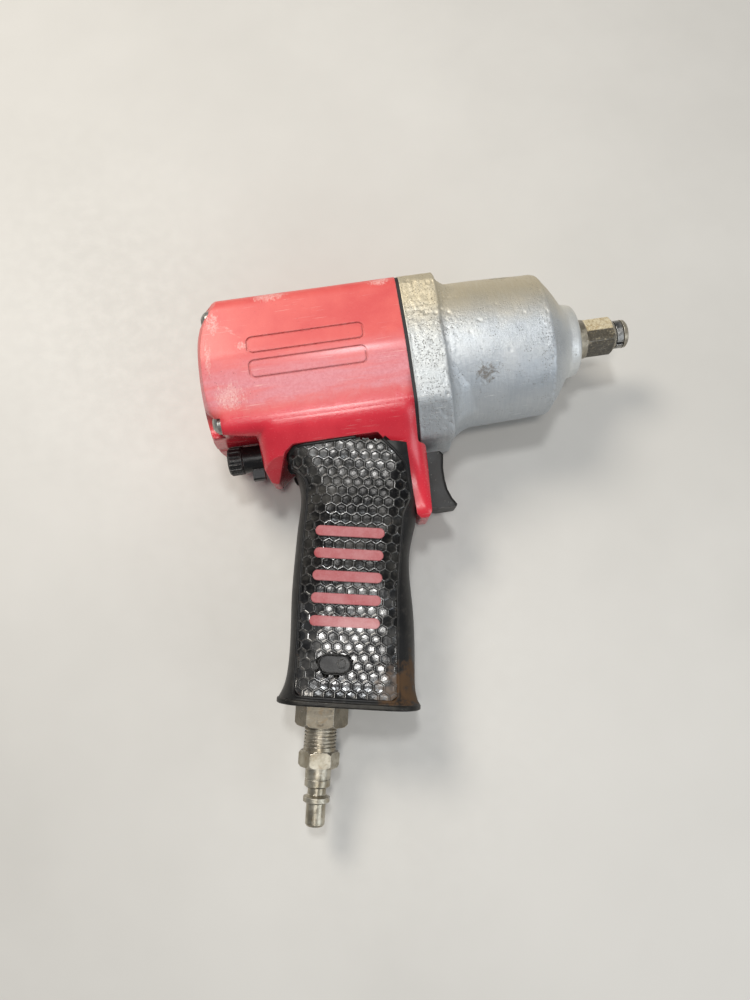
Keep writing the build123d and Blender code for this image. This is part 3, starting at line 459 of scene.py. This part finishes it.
def red_rubber():
    n = Nodes("red_rubber")
    p = n.tool()
    normal, edge = n.edges(0.0006, 0.02, 0.2)
    fine = n.noise(p, 1.4, 5.0, 0.7)
    cloud = n.noise(p, 0.14, 5.0, 0.65)
    color = n.mix(n.range(cloud, 0.3, 0.7), srgb(158, 62, 66), srgb(172, 100, 102))
    color = n.paint(color, n.range(fine, 0.5, 0.72), 0.3, (190, 140, 138))
    # painted shade along the rounded edges of the bars
    color = n.paint(color, edge, 0.6, (92, 22, 26))
    rough = n.range(fine, 0.3, 0.7, 0.36, 0.52)
    return n.finish(color, rough, n.bump(fine, 0.35, 0.0002, normal), coat=0.1)


def black_plastic(name="black_plastic", base=(14, 14, 15), rough_lo=0.24, dusty=0.2):
    n = Nodes(name)
    p = n.tool()
    normal, edge = n.edges(0.0006, 0.02, 0.2)
    broad = n.noise(p, 0.12, 4.0, 0.6)
    fine = n.noise(p, 1.6, 5.0, 0.7)
    light = (base[0] + 14, base[1] + 13, base[2] + 12)
    color = n.mix(n.range(broad, 0.3, 0.7), srgb(*base), srgb(*light))
    chips = n.range(n.cells(p, 1.0), 0.2, 0.08)
    chips = n.times(chips, n.range(n.noise(p, 0.25, 3.0), 0.52, 0.64))
    color = n.paint(color, chips, 0.5, (176, 172, 164))
    dust = n.times(n.range(fine, 0.52, 0.75), dusty)
    color = n.mix(dust, color, srgb(150, 144, 132))
    rub = n.times(edge, n.range(n.noise(p, 0.7, 4.0, 0.7), 0.36, 0.56))
    color = n.paint(color, rub, 0.55, (168, 164, 158))
    rough = n.range(broad, 0.3, 0.7, rough_lo, rough_lo + 0.12)
    rough = n.plus(rough, n.times(fine, 0.12))
    return n.finish(color, rough, n.bump(fine, 0.3, 0.00016, normal), spec=0.35)


def steel(name, dark, light, edge_color, rough_lo, rough_hi, blotch, metal=1.0, tint=None):
    """Worn steel between two tones, with blots, bright edges and scratches."""
    n = Nodes(name)
    p = n.tool()
    normal, edge = n.edges(0.00028, 0.015, 0.15)
    broad = n.noise(p, 0.16, 5.0, 0.65, 0.5)
    fine = n.noise(p, 1.6, 6.0, 0.7)
    color = n.mix(n.range(broad, 0.34, 0.66), srgb(*dark), srgb(*light))
    blots = n.range(n.noise(p, 0.55, 6.0, 0.75, 0.6), 0.56, 0.7)
    color = n.paint(color, blots, blotch, [int(c * 0.42) for c in dark])
    if tint is not None:
        color = tint(n, p, color)
    color = n.paint(color, edge, 0.95, edge_color)
    lines = n.streaks(p, (0, 0, 0.3), 0.08, 2.8, 0.62, 0.7, 0.1, 0.42)
    color = n.paint(color, lines, 0.4, edge_color)
    rough = n.plus(n.range(broad, 0.3, 0.7, rough_lo, rough_hi), n.times(fine, 0.12))
    rough = n.minus(rough, n.times(edge, 0.08))
    height = n.minus(fine, n.times(blots, 0.6))
    return n.finish(color, rough, n.bump(height, 0.35, 0.0002, normal), metal=metal)


def anvil_tint(n, p, color):
    """The drive's square is pitted, with a painted warm reflection on its upper faces and a painted dark
    reflection of the table below.
    """
    x, y, z = n.axis(p)
    on_square = n.times(n.range(x, 77.2, 78.6), n.range(x, 90.8, 90.0))
    # side grows towards the square's upper front corner, low is below the middle of its front flat
    side = n.plus(n.times(y, 0.875), n.times(z, 0.485))
    low = n.range(n.plus(y, n.times(z, -0.287)), -0.2, -0.9)
    low = n.times(low, n.range(n.noise(p, 0.8, 4.0, 0.7), 0.3, 0.5, 0.55, 1.0))
    # painted warm reflection on the upper faces of the square, mottled
    reflection_mottle = n.range(n.noise(p, 0.9, 6.0, 0.75, 0.8), 0.42, 0.62)
    tan = n.mix(reflection_mottle, srgb(255, 240, 204), srgb(206, 178, 128))
    color = n.mix(n.times(on_square, n.range(side, -4.0, 2.0, 0.2, 0.85)), color, tan)
    # painted dark reflection of the table on the lower part of the front flat
    return n.mix(n.times(on_square, n.times(low, 0.92)), color, srgb(66, 64, 60))


def plated_tint(n, p, color):
    """Brown grime low on the flats and in the thread."""
    mask = n.range(n.noise(p, 0.5, 5.0, 0.7, 0.4), 0.5, 0.68)
    color = n.paint(color, mask, 0.45, (128, 104, 72))
    thread = n.near(p, *THREAD_DIRT)
    return n.paint(color, thread, 0.5, (112, 96, 74))


def plain(name, color, rough, metal=0.0, variation=14):
    """Simple finish for gaskets and for pieces seen only when the tool is opened."""
    n = Nodes(name)
    p = n.tool()
    fine = n.noise(p, 1.2, 5.0, 0.65)
    light = tuple(min(255, c + variation) for c in color)
    mixed = n.mix(n.range(fine, 0.35, 0.65), srgb(*color), srgb(*light))
    worn = n.range(fine, 0.3, 0.7, rough, rough + 0.12)
    return n.finish(mixed, worn, n.bump(fine, 0.25, 0.00015), metal=metal)


RED = red_composite()
ALU = cast_aluminium()
GRIP = black_grip()
HONEY = black_grip("black_honeycomb", True)
BARS = red_rubber()
PLASTIC = black_plastic()
TRIGGER = black_plastic("trigger_plastic", (14, 13, 12), 0.34, 0.05)
CAP = steel("cap_steel", (40, 39, 38), (62, 60, 56), (150, 146, 138), 0.35, 0.5, 0.4, 0.8)
DRIVE = steel("drive_steel", (120, 112, 98), (176, 168, 150), (250, 246, 236),
              0.22, 0.36, 0.4, 0.5, anvil_tint)
PLATED = steel("plated_steel", (150, 142, 124), (196, 190, 174), (250, 246, 236),
               0.24, 0.36, 0.3, 0.9, plated_tint)
BUSH = steel("bushing_steel", (112, 106, 94), (150, 142, 126), (232, 228, 216),
             0.34, 0.5, 0.45, 0.8, plated_tint)
SCREW = steel("screw_steel", (132, 130, 124), (180, 178, 172), (246, 244, 240), 0.2, 0.34, 0.6, 0.9)
STEEL = steel("bare_steel", (120, 118, 114), (178, 176, 172), (240, 240, 238), 0.25, 0.42, 0.4)
GASKET = plain("gasket_sheet", (24, 24, 25), 0.6)
BRONZE = plain("bronze", (176, 136, 72), 0.35, 1.0)
VANE = plain("vane_laminate", (104, 72, 42), 0.55)
FELT = plain("silencer_felt", (96, 94, 90), 0.85)

FINISH = {
    "motor_housing": RED,
    "hammer_case": ALU,
    "grip_overmould": GRIP,
    "grip_panel_right": HONEY,
    "grip_panel_left": HONEY,
    "accent_bars_right": BARS,
    "accent_bars_left": BARS,
    "oval_insert_right": PLASTIC,
    "oval_insert_left": PLASTIC,
    "case_screws": SCREW,
    "case_washers": SCREW,
    "case_gasket": GASKET,
    "inlet_washer": GASKET,
    "retainer_oring": GASKET,
    "trigger": TRIGGER,
    "regulator_knob": PLASTIC,
    "throttle_valve": PLASTIC,
    "base_cap": CAP,
    "knob_screw": CAP,
    "anvil": DRIVE,
    "inlet_plug": PLATED,
    "inlet_bushing": BUSH,
    "anvil_bushing": BRONZE,
    "reverse_bushing": BRONZE,
    "pin_bushing": BRONZE,
    "throttle_seat": BRONZE,
    "inlet_screen": BRONZE,
    "rotor_vanes": VANE,
    "exhaust_muffler": FELT,
}
for name, obj in nodes.items():
    material = FINISH.get(name, STEEL)
    if not obj.data.materials:
        obj.data.materials.append(material)
    for slot in obj.material_slots:
        slot.material = material


# rounded crowns on the bars
for name in ("accent_bars_right", "accent_bars_left"):
    crown = nodes[name].modifiers.new("crown", "BEVEL")
    crown.width = 0.0009
    crown.segments = 3
    crown.limit_method = "ANGLE"
    crown.angle_limit = math.radians(50)


# ---- mesh helpers --------------------------------------------------------------------
def piece(name, verts, faces, body, material, stands_for=(), smooth=True, ridge=None):
    """A new piece from tool millimetres, riding a body."""
    mesh = bpy.data.meshes.new(name)
    mesh.from_pydata([T @ Vector(v) for v in verts], [], faces)
    mesh.validate()
    mesh.update()
    if smooth:
        mesh.polygons.foreach_set("use_smooth", [True] * len(mesh.polygons))
    if ridge is not None:
        layer = mesh.attributes.new("ridge", "FLOAT", "POINT")
        layer.data.foreach_set("value", ridge)
    mesh.materials.append(material)
    obj = bpy.data.objects.new(name, mesh)
    bpy.context.scene.collection.objects.link(obj)
    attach(obj, body)
    if stands_for:
        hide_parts(*stands_for)


def tree_of(*names):
    """Ray-castable surface of CAD nodes, in tool millimetres."""
    verts, faces = [], []
    for name in names:
        start = len(verts)
        mesh = nodes[name].data
        verts += [T_BACK @ v.co for v in mesh.vertices]
        faces += [[start + i for i in f.vertices] for f in mesh.polygons]
    return BVHTree.FromPolygons(verts, faces)


# ---- hammer case ----------------------------------------------------------------------
CASE_LO, CASE_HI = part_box("hammer_case")
R_BODY = (CASE_HI.z - CASE_LO.z) / MM / 2
X_CASE = -2.8          # rear face of the flange
FLANGE_FRONT = 11.9
X_BARREL = 30.0        # the flange has swept down to the barrel before this
LIP, LIP_LENGTH = 0.45, 1.3   # rounding at the front edge of the flange
LUG, LUG_RADIUS = 22.8, 7.3   # the four screw lugs, up and out from the shaft
LUGS = [(y, z, LUG_RADIUS) for y in (LUG, -LUG) for z in (LUG, -LUG)]
LUGS += [(-32.4, 13.5, 7.0), (-32.4, -13.5, 7.0)]   # the two corners over the handle
SKIN_STEPS, SKIN_STEP = 64, math.radians(1.1)   # directions tried either side of each angle
CASE_TURNS = 420       # points round each ring
RING_GAP = 0.45        # most distance between rings of the outside

# X and radius along the case, as far as the drive end, then back through the bore
BARREL = [(X_CASE, 32.3), (12.0, 32.2), (30.0, 32.0), (42.0, 31.6), (54.4, 31.15), (55.9, 31.1),
          (56.9, 30.75), (57.5, 30.1), (58.3, 29.0), (60.8, 26.2), (63.6, 22.4), (66.3, 18.3),
          (67.0, 17.5), (67.6, 17.0), (68.4, 16.6), (71.3, 16.0), (72.2, 15.6), (72.8, 14.9),
          (73.2, 13.9)]
BORE = [(73.2, 10.4), (71.7, 10.2), (71.7, 12.45), (56.4, 12.45), (56.0, 17.0), (51.5, 24.5),
        (49.4, 26.0), (-2.0, 26.0), (-2.0, 24.05), (-19.0, 24.05), (-19.0, 25.95), (X_CASE, 25.95)]

SCATTERED = 420        # dents all over the case
# patches of dents: count, X and its spread, angle and its spread, sizes, depths
KNOCKED = (
    (26, (27.0, 2.6), (2.15, 0.1), (0.4, 0.9), (0.06, 0.2)),
    (12, (40.0, 3.0), (0.55, 0.08), (0.6, 1.3), (0.1, 0.35)),
)


def skin_radius(angle):
    """Distance from the shaft to the tight skin round the body and its lugs, that way."""
    best = math.inf
    for step in range(-SKIN_STEPS, SKIN_STEPS + 1):
        turn = angle + step * SKIN_STEP
        reach = R_BODY
        for a, b, r in LUGS:
            reach = max(reach, a * math.cos(turn) + b * math.sin(turn) + r)
        best = min(best, reach / math.cos(turn - angle))
    return best


def spaced(points, gap):
    """Points along a profile no further apart than a gap."""
    out = []
    for (x0, r0), (x1, r1) in zip(points, points[1:]):
        n = max(1, int(math.ceil(math.hypot(x1 - x0, r1 - r0) / gap)))
        out += [(x0 + (x1 - x0) * k / n, r0 + (r1 - r0) * k / n) for k in range(n)]
    return out + [points[-1]]


def case_dents():
    """Dents as X, angle, size and depth, listed under each whole millimetre that they reach."""
    rng = random.Random(11)
    dents = []
    for _ in range(SCATTERED):
        # most are at the flange's edge, on the flange or at the barrel's shoulder
        where = rng.random()
        if where < 0.3:
            x = rng.gauss(11.5, 1.4)
        elif where < 0.6:
            x = rng.uniform(-1.5, 12.0)
        elif where < 0.85:
            x = rng.gauss(57.0, 1.2)
        else:
            x = rng.uniform(12.0, 56.0)
        size = rng.uniform(0.4, 1.3)
        dents.append((x, rng.uniform(0, 2 * math.pi), size, size * rng.uniform(0.1, 0.28)))
    for count, x, angle, size, depth in KNOCKED:
        for _ in range(count):
            dents.append((rng.gauss(*x), rng.gauss(*angle), rng.uniform(*size), rng.uniform(*depth)))
    lanes = {}
    for dent in dents:
        for row in range(int(dent[0] - 2), int(dent[0] + 3)):
            lanes.setdefault(row, []).append(dent)
    return lanes


def case_radius(x, r, a, skin, lanes):
    """Radius of the outside at an X and an angle, where the bare barrel has radius r."""
    # the flange keeps the full outline, then sweeps down to the barrel in a hollow
    radius = r
    step = max(0.0, skin - r)
    front = FLANGE_FRONT + 0.35 * math.sin(5 * a) * math.sin(3 * a + 1)
    if x <= front:
        radius = r + step - LIP * max(0.0, (x - front + LIP_LENGTH) / LIP_LENGTH) ** 3
    elif x < X_BARREL:
        u = min(1.0, (x - front) / (1.15 * step + 0.8))
        radius = r + max(0.0, step - LIP) * (1 - math.sqrt(1 - (1 - u) ** 2)) ** 0.8
    # uneven casting, roughest on the flange and the shoulder
    v = Vector((x, radius * math.cos(a), radius * math.sin(a)))
    edge = 1.0 if x < 18 or 53 < x < 60 else 0.3
    push = 0.10 * noise.noise(v * 0.09) + 0.10 * edge * noise.noise(v * 0.5)
    push += 0.08 * edge * noise.noise(v * 1.2)
    for dx, da, size, depth in lanes.get(int(x), ()):
        if abs(dx - x) < size:
            across = (a - da + math.pi) % (2 * math.pi) - math.pi
            d = math.hypot(dx - x, across * radius) / size
            if d < 1.0:
                push -= depth * (1 - d * d) ** 2
    # smooth at the gasket, and everywhere just inside the CAD case
    fade = min(1.0, max(0.0, (x - X_CASE) / 1.2))
    return radius + (push - 0.16) * fade - 0.02


def hammer_case_piece():
    outer = spaced(BARREL, RING_GAP)
    profile = outer + BORE
    angles = [2 * math.pi * k / CASE_TURNS for k in range(CASE_TURNS)]
    skin = [skin_radius(a) for a in angles]
    lanes = case_dents()
    verts = []
    for i, (x, r) in enumerate(profile):
        for a, reach in zip(angles, skin):
            radius = case_radius(x, r, a, reach, lanes) if i < len(outer) else r
            verts.append((x, radius * math.cos(a), radius * math.sin(a)))
    faces = []
    for i in range(len(profile)):
        j = (i + 1) % len(profile)
        for k in range(CASE_TURNS):
            m = (k + 1) % CASE_TURNS
            faces.append((i * CASE_TURNS + k, j * CASE_TURNS + k,
                          j * CASE_TURNS + m, i * CASE_TURNS + m))
    piece("hammer_case_shell", verts, faces, "housing", ALU, ("hammer_case",))


hammer_case_piece()


# ---- honeycomb grip panels ---------------------------------------------------------------
PANEL = [(-56.0, -35.9), (-20.9, -35.9), (-14.9, -43.0), (-10.9, -49.4), (-10.3, -63.0),
         (-14.9, -69.6), (-16.6, -76.5), grip_point(45.0, 17.4), grip_point(3.4, 19.8),
         grip_point(3.4, -21.8), grip_point(60.0, -22.6), grip_point(80.0, -22.0),
         (-52.3, -50.6), (-54.3, -46.6), (-57.8, -43.8), (-58.2, -38.6)]
PANEL_CORNER = 3.0
PITCH = 4.25           # across the flats of a cell
ROW_RATIO = 0.866      # from one row of cells to the next, in pitches
CELL_ROWS, CELL_COLUMNS = range(-2, 34), range(-8, 9)   # enough to cover the panel
WALL_DEPTH = 1.8       # underside of the panel, hidden in the grip
# inner rings of a cell: how far in from its edge, how deep, and how much of a ridge
RING_INSETS = (0.17, 0.34, 0.62)
RING_DEPTHS = (0.02, 0.42, 0.55, 0.60)
RING_MARKS = (1.0, 0.2, 0.0, 0.0)
HUB_DEPTH = 0.61
LEAN = 0.09            # how far the floor of a cell may tip, so that each one shines its own way
# places round a point where the surface is sampled: itself first
AROUND = [(0, 0)] + [(dx * d, dy * d) for d in (0.35, 0.7) for dx, dy in ((1, 0), (-1, 0), (0, 1), (0, -1))]
ABOVE = 60.0           # rays start this far out
BAR_SUNK = 0.7         # the cells pass this far under the top of a bar
GAP_DEPTH = 1.1        # a sample this much lower than the others fell into a gap
NO_SURFACE = 14.0      # height used where a ray finds no surface
OVAL_HALF = 2.7        # the insert's straight part, either side of its middle
OVAL_RADIUS = 3.5
OVAL_MARGIN = 0.25     # the cells are lowered this far round the insert
RIM_RADIUS = 3.75
OVAL_STEPS = 48
UNDER_OVAL = 17.3      # height of the cells under the insert
OVAL_FLOOR = (13.6, 17.25)   # heights of the floor under the insert
OVAL_GROW = 1.22       # the floor's size, in rims
oval_points = [T_BACK @ v.co for v in nodes["oval_insert_right"].data.vertices]
OVAL_AT = tuple((max(v[i] for v in oval_points) + min(v[i] for v in oval_points)) / 2 for i in (0, 1))
EDGE_BEAD = (0.62, 0.42)   # half width and rise
RIM_BEAD = (0.32, 0.3)
BEAD_STEP = 0.8
# section of a bead: across in half widths, up in rises; two points at each end are the skirt
BEAD = [(-2.8, -3.4), (-2.8, -1.9), (-1.0, -1.7), (-1.0, 0.0), (-0.75, 0.62), (-0.35, 0.95), (0.0, 1.0),
        (0.35, 0.95), (0.75, 0.62), (1.0, 0.0), (1.0, -1.7), (2.8, -1.9), (2.8, -3.4)]


def rounded(points, radius):
    """Closed outline with its corners rounded."""
    out = []
    n = len(points)
    for i in range(n):
        a, b, c = Vector(points[i - 1]), Vector(points[i]), Vector(points[(i + 1) % n])
        ab, cb = (a - b), (c - b)
        cut = min(radius, ab.length * 0.45, cb.length * 0.45)
        p, q = b + ab.normalized() * cut, b + cb.normalized() * cut
        for k in range(7):
            t = k / 6
            out.append(p * (1 - t) ** 2 + b * 2 * t * (1 - t) + q * t * t)
    return out


def inside(x, y, outline):
    """Whether a point is inside a closed outline."""
    hit = False
    n = len(outline)
    for i in range(n):
        x0, y0 = outline[i]
        x1, y1 = outline[(i + 1) % n]
        if (y0 > y) != (y1 > y) and x < (x1 - x0) * (y - y0) / (y1 - y0) + x0:
            hit = not hit
    return hit


def crossing(a, b, outline):
    """Where the step from a to b meets the outline."""
    n = len(outline)
    for i in range(n):
        p, q = outline[i], outline[(i + 1) % n]
        r, s = b - a, q - p
        d = r.x * s.y - r.y * s.x
        if abs(d) < 1e-12:
            continue
        t = ((p.x - a.x) * s.y - (p.y - a.y) * s.x) / d
        u = ((p.x - a.x) * r.y - (p.y - a.y) * r.x) / d
        if -1e-9 <= t <= 1 + 1e-9 and -1e-9 <= u <= 1 + 1e-9:
            return a + r * t
    return a + (b - a) * 0.5


def in_oval(x, y):
    """Whether a point is under the insert or just beside it."""
    dx, dy = x - OVAL_AT[0], y - OVAL_AT[1]
    along = dx * COS_R - dy * SIN_R
    across = dx * SIN_R + dy * COS_R
    reach = max(0.0, abs(along) - OVAL_HALF)
    return math.hypot(reach, across) < OVAL_RADIUS + OVAL_MARGIN


def oval_line(radius):
    """Closed line round the insert."""
    line = []
    for k in range(OVAL_STEPS):
        a = 2 * math.pi * k / OVAL_STEPS
        along = OVAL_HALF * (1 if math.cos(a) > 0 else -1) + radius * math.cos(a)
        dx, dy = raked(radius * math.sin(a), along)
        line.append(Vector((OVAL_AT[0] + dx, OVAL_AT[1] + dy)))
    return line


def facing_out(faces, side):
    """Faces as they are on the right side, turned over on the left."""
    return faces if side > 0 else [tuple(reversed(f)) for f in faces]


class Surface:
    """Height and normal of one side of the grip, read from the CAD pieces."""

    def __init__(self, side):
        self.side = side
        self.word = "right" if side > 0 else "left"
        self.bars = tree_of("accent_bars_" + self.word)
        self.skin = tree_of("grip_panel_" + self.word, "grip_overmould")
        self.memory = {}

    def top(self, x, y):
        """Top of the grip there, evened out across the thin gap round each inlaid panel."""
        way = Vector((0, 0, -self.side))
        hits = []
        for dx, dy in AROUND:
            p, n = self.skin.ray_cast(Vector((x + dx, y + dy, ABOVE * self.side)), way)[:2]
            if p is not None and abs(n.z) > 0.4:
                hits.append((p.z * self.side, n if n.z * self.side > 0 else -n, dx == 0 and dy == 0))
        if not hits:
            return None, Vector((0, 0, self.side))
        high = max(h[0] for h in hits)
        good = [h for h in hits if high - h[0] < GAP_DEPTH]
        middle = [h[0] for h in good if h[2]]
        z = middle[0] if middle else sum(h[0] for h in good) / len(good)
        n = sum((h[1] for h in good), Vector((0, 0, 0))).normalized()
        return Vector((x, y, z * self.side)), n

    def at(self, x, y, sunk=True):
        """Point and normal to build on; sunk passes under the oval insert."""
        key = (round(x, 3), round(y, 3))
        if key in self.memory:
            return self.memory[key]
        start, way = Vector((x, y, ABOVE * self.side)), Vector((0, 0, -self.side))
        p, n = self.bars.ray_cast(start, way)[:2]
        if p is not None and n.z * self.side > 0.5:
            p = p - n * BAR_SUNK
        else:
            p, n = self.top(x, y)
        if p is None or abs(n.z) < 0.2:
            height = NO_SURFACE * self.side if p is None else p.z
            p, n = Vector((x, y, height)), Vector((0, 0, self.side))
        if n.z * self.side < 0:
            n = -n
        if sunk and in_oval(x, y):
            p, n = Vector((x, y, UNDER_OVAL * self.side)), Vector((0, 0, self.side))
        self.memory[key] = (p, n)
        return p, n


def panel_cells(outline):
    """Hexagons all over the panel, cut off where they cross its outline."""
    cells = []
    ring = [(math.pi / 6 + k * math.pi / 3) for k in range(6)]
    corner = PITCH / math.sqrt(3)
    for row in CELL_ROWS:
        for col in CELL_COLUMNS:
            s = row * PITCH * ROW_RATIO + 1.0
            w = col * PITCH + (PITCH / 2 if row % 2 else 0.0) - 1.0
            poly = [Vector(grip_point(s + corner * math.sin(a), w + corner * math.cos(a))) for a in ring]
            keep = [inside(p.x, p.y, outline) for p in poly]
            if not any(keep):
                continue
            if not all(keep):
                cut = []
                for k in range(6):
                    a, b = poly[k], poly[(k + 1) % 6]
                    if keep[k]:
                        cut.append(a)
                    if keep[k] != keep[(k + 1) % 6]:
                        cut.append(crossing(a, b, outline))
                poly = cut
            if len(poly) >= 3:
                cells.append(poly)
    return cells


def shrink(poly, amount):
    """Convex outline moved in by a distance, or None if it closes up."""
    centre = sum(poly, Vector((0, 0))) / len(poly)
    n = len(poly)
    area = sum(poly[i].x * poly[(i + 1) % n].y - poly[(i + 1) % n].x * poly[i].y for i in range(n))
    sign = 1 if area > 0 else -1
    out = []
    for i in range(n):
        a, b, c = poly[i - 1], poly[i], poly[(i + 1) % n]
        d0, d1 = (b - a), (c - b)
        if d0.length < 1e-6 or d1.length < 1e-6:
            return None
        n0 = Vector((-d0.y, d0.x)).normalized() * sign
        n1 = Vector((-d1.y, d1.x)).normalized() * sign
        mid = n0 + n1
        if mid.length < 0.3:
            return None
        mid.normalize()
        q = b + mid * (amount / max(0.35, mid.dot(n0)))
        if (q - b).dot(centre - b) <= 0 or (q - b).length > (centre - b).length * 0.92:
            return None
        out.append(q)
    return out


def honeycomb_mesh(cells, surf):
    """One mesh of recessed cells between shared ridges, closed underneath."""
    verts, faces, ridge = [], [], []
    shared = {}
    edge_use = {}

    def point(p, depth, mark, key=None):
        if key is not None and key in shared:
            return shared[key]
        q, n = surf.at(p.x, p.y)
        verts.append(tuple(q - n * depth))
        ridge.append(mark)
        if key is not None:
            shared[key] = len(verts) - 1
        return len(verts) - 1

    for poly in cells:
        n = len(poly)
        top = [point(p, 0.0, 1.0, ("t", round(p.x, 2), round(p.y, 2))) for p in poly]
        low = [point(p, WALL_DEPTH, 0.0, ("b", round(p.x, 2), round(p.y, 2))) for p in poly]
        if len(set(top)) < n:
            continue
        for i in range(n):
            a, b = top[i], top[(i + 1) % n]
            edge_use.setdefault(frozenset((a, b)), []).append((a, b, low[i], low[(i + 1) % n]))
        faces.append(tuple(reversed(low)))
        rings = [shrink(poly, inset) for inset in RING_INSETS]
        if None in rings:
            faces.append(tuple(top))
            continue
        centre = sum(poly, Vector((0, 0))) / n
        rings.append([centre + (p - centre) * 0.5 for p in rings[-1]])
        lean = Vector((noise.noise(Vector((centre.x, centre.y, surf.side)) * 7.3),
                       noise.noise(Vector((centre.y, centre.x, surf.side)) * 5.1)))
        last = top
        for loop, depth, mark in zip(rings, RING_DEPTHS, RING_MARKS):
            tip = LEAN if depth > 0.3 else 0.0
            this = [point(p, depth + (p - centre).dot(lean) * tip, mark) for p in loop]
            for i in range(n):
                m = (i + 1) % n
                faces.append((last[i], last[m], this[m], this[i]))
            last = this
        hub = point(centre, HUB_DEPTH, 0.0)
        for i in range(n):
            faces.append((last[i], last[(i + 1) % n], hub))
    # walls down the outside, where an edge has a cell on one side only
    for uses in edge_use.values():
        if len(uses) == 1:
            a, b, low_a, low_b = uses[0]
            faces.append((b, a, low_a, low_b))
    return verts, facing_out(faces, surf.side), ridge


def bead(name, outline, surf, half, rise, skirt=True):
    """Half-round bead laid along a closed line on the grip; a hidden skirt can close the gap beside it."""
    line = []
    for i, a in enumerate(outline):
        b = outline[(i + 1) % len(outline)]
        steps = max(1, int((b - a).length / BEAD_STEP))
        line += [a + (b - a) * k / steps for k in range(steps)]
    line = [p for i, p in enumerate(line) if (p - line[i - 1]).length > 1e-4]
    n = len(line)
    shape = BEAD if skirt else BEAD[2:-2]
    m = len(shape)
    verts, faces = [], []
    for i, p in enumerate(line):
        flow = (line[(i + 1) % n] - line[i - 1]).normalized()
        q, up = surf.at(p.x, p.y, False)
        across = Vector((flow.y, -flow.x, 0.0))
        across = (across - up * across.dot(up)).normalized()
        for u, h in shape:
            verts.append(tuple(q + across * u * half + up * h * rise))
        j = (i + 1) % n
        for k in range(m):
            o = (k + 1) % m
            faces.append((i * m + k, i * m + o, j * m + o, j * m + k))
    piece(name, verts, facing_out(faces, surf.side), "housing", GRIP)


def oval_floor(surf, oval):
    """Rubber floor under the insert."""
    middle = Vector(OVAL_AT)
    grown = [middle + (p - middle) * OVAL_GROW for p in oval]
    verts = [(p.x, p.y, z * surf.side) for z in OVAL_FLOOR for p in grown]
    n = len(grown)
    faces = [tuple(reversed(range(n))), tuple(range(n, 2 * n))]
    faces += [(i, (i + 1) % n, n + (i + 1) % n, n + i) for i in range(n)]
    piece("oval_floor_" + surf.word, verts, facing_out(faces, surf.side), "housing",
          GRIP, smooth=False)


for side in (1, -1):
    surf = Surface(side)
    outline = rounded(PANEL, PANEL_CORNER)
    verts, faces, ridge = honeycomb_mesh(panel_cells(outline), surf)
    piece("grip_honeycomb_" + surf.word, verts, faces, "housing", HONEY,
          ("grip_panel_" + surf.word,), smooth=False, ridge=ridge)
    bead("grip_edge_bead_" + surf.word, outline, surf, *EDGE_BEAD)
    oval = oval_line(RIM_RADIUS)
    bead("oval_rim_" + surf.word, oval, surf, *RIM_BEAD, skirt=False)
    oval_floor(surf, oval)


# ---- floor, lights and camera ----------------------------------------------------------
def floor_material():
    n = Nodes("floor")
    coord = n.node("ShaderNodeTexCoord").outputs["Object"]
    cloud = n.noise(coord, 3.0, 5.0, 0.6)
    fine = n.noise(coord, 160.0, 4.0, 0.6)
    color = n.mix(n.range(cloud, 0.3, 0.7), srgb(196, 193, 187), srgb(208, 205, 199))
    return n.finish(color, n.range(fine, 0.3, 0.7, 0.5, 0.62), n.bump(fine, 0.08, 0.0003))


FLOOR_HALF = 3.0
FLOOR_GAP = 0.0002     # keeps the floor from cutting into the lowest faces
corners = [(x * FLOOR_HALF, y * FLOOR_HALF, 0) for x, y in ((-1, -1), (1, -1), (1, 1), (-1, 1))]
mesh = bpy.data.meshes.new("floor")
mesh.from_pydata(corners, [], [(0, 1, 2, 3)])
floor = bpy.data.objects.new("floor", mesh)
mesh.materials.append(floor_material())
bpy.context.scene.collection.objects.link(floor)
floor.location.z = cad_lo.z - FLOOR_GAP


def area(name, at, aim, size, power, color, size_y=None):
    """Rectangular area light, pointed at a place."""
    light = bpy.data.lights.new(name, "AREA")
    light.shape = "RECTANGLE"
    light.size = size
    light.size_y = size_y or size
    light.energy = power
    light.color = color
    obj = bpy.data.objects.new(name, light)
    bpy.context.scene.collection.objects.link(obj)
    obj.location = at
    obj.rotation_euler = (Vector(aim) - Vector(at)).to_track_quat("-Z", "Y").to_euler()


area("key", (-0.34, 0.5, 0.72), (0, 0, 0.02), 0.3, 4.6, (1.0, 0.94, 0.85))
area("top", (-0.05, -0.17, 1.0), (0, 0, 0), 0.15, 2.6, (1.0, 0.98, 0.95), 0.12)
area("fill", (0.62, -0.55, 0.5), (0, 0, 0.02), 0.5, 2.3, (0.88, 0.94, 1.0))
area("edge", (0.0, 0.21, 0.95), (0.03, 0.04, 0.02), 0.1, 2.2, (0.95, 0.98, 1.0), 0.1)

world = bpy.data.worlds.new("studio")
bpy.context.scene.world = world
world.use_nodes = True
sky = world.node_tree.nodes["Background"]
sky.inputs["Color"].default_value = (0.82, 0.86, 0.92, 1.0)
sky.inputs["Strength"].default_value = 0.27
bpy.context.scene.view_settings.view_transform = "Standard"

cam_data = bpy.data.cameras.new("camera")
cam = bpy.data.objects.new("camera", cam_data)
bpy.context.scene.collection.objects.link(cam)
cam_data.sensor_fit = "VERTICAL"
cam_data.sensor_height = 36.0
cam_data.lens = 26.64
# place and directions in the tool frame
at = Vector((-32.7, -111.2, 316.8))
right = Vector((0.98940, -0.14520, 0.0))
ahead = Vector((0.02384, 0.16243, -0.98643)).normalized()
right = (right - ahead * right.dot(ahead)).normalized()
up = right.cross(ahead)
pose = Matrix((right, up, -ahead)).transposed().to_4x4()
cam.matrix_world = Matrix.Translation(T @ at) @ TURN.to_4x4() @ pose
bpy.context.scene.camera = cam

bpy.context.view_layer.update()
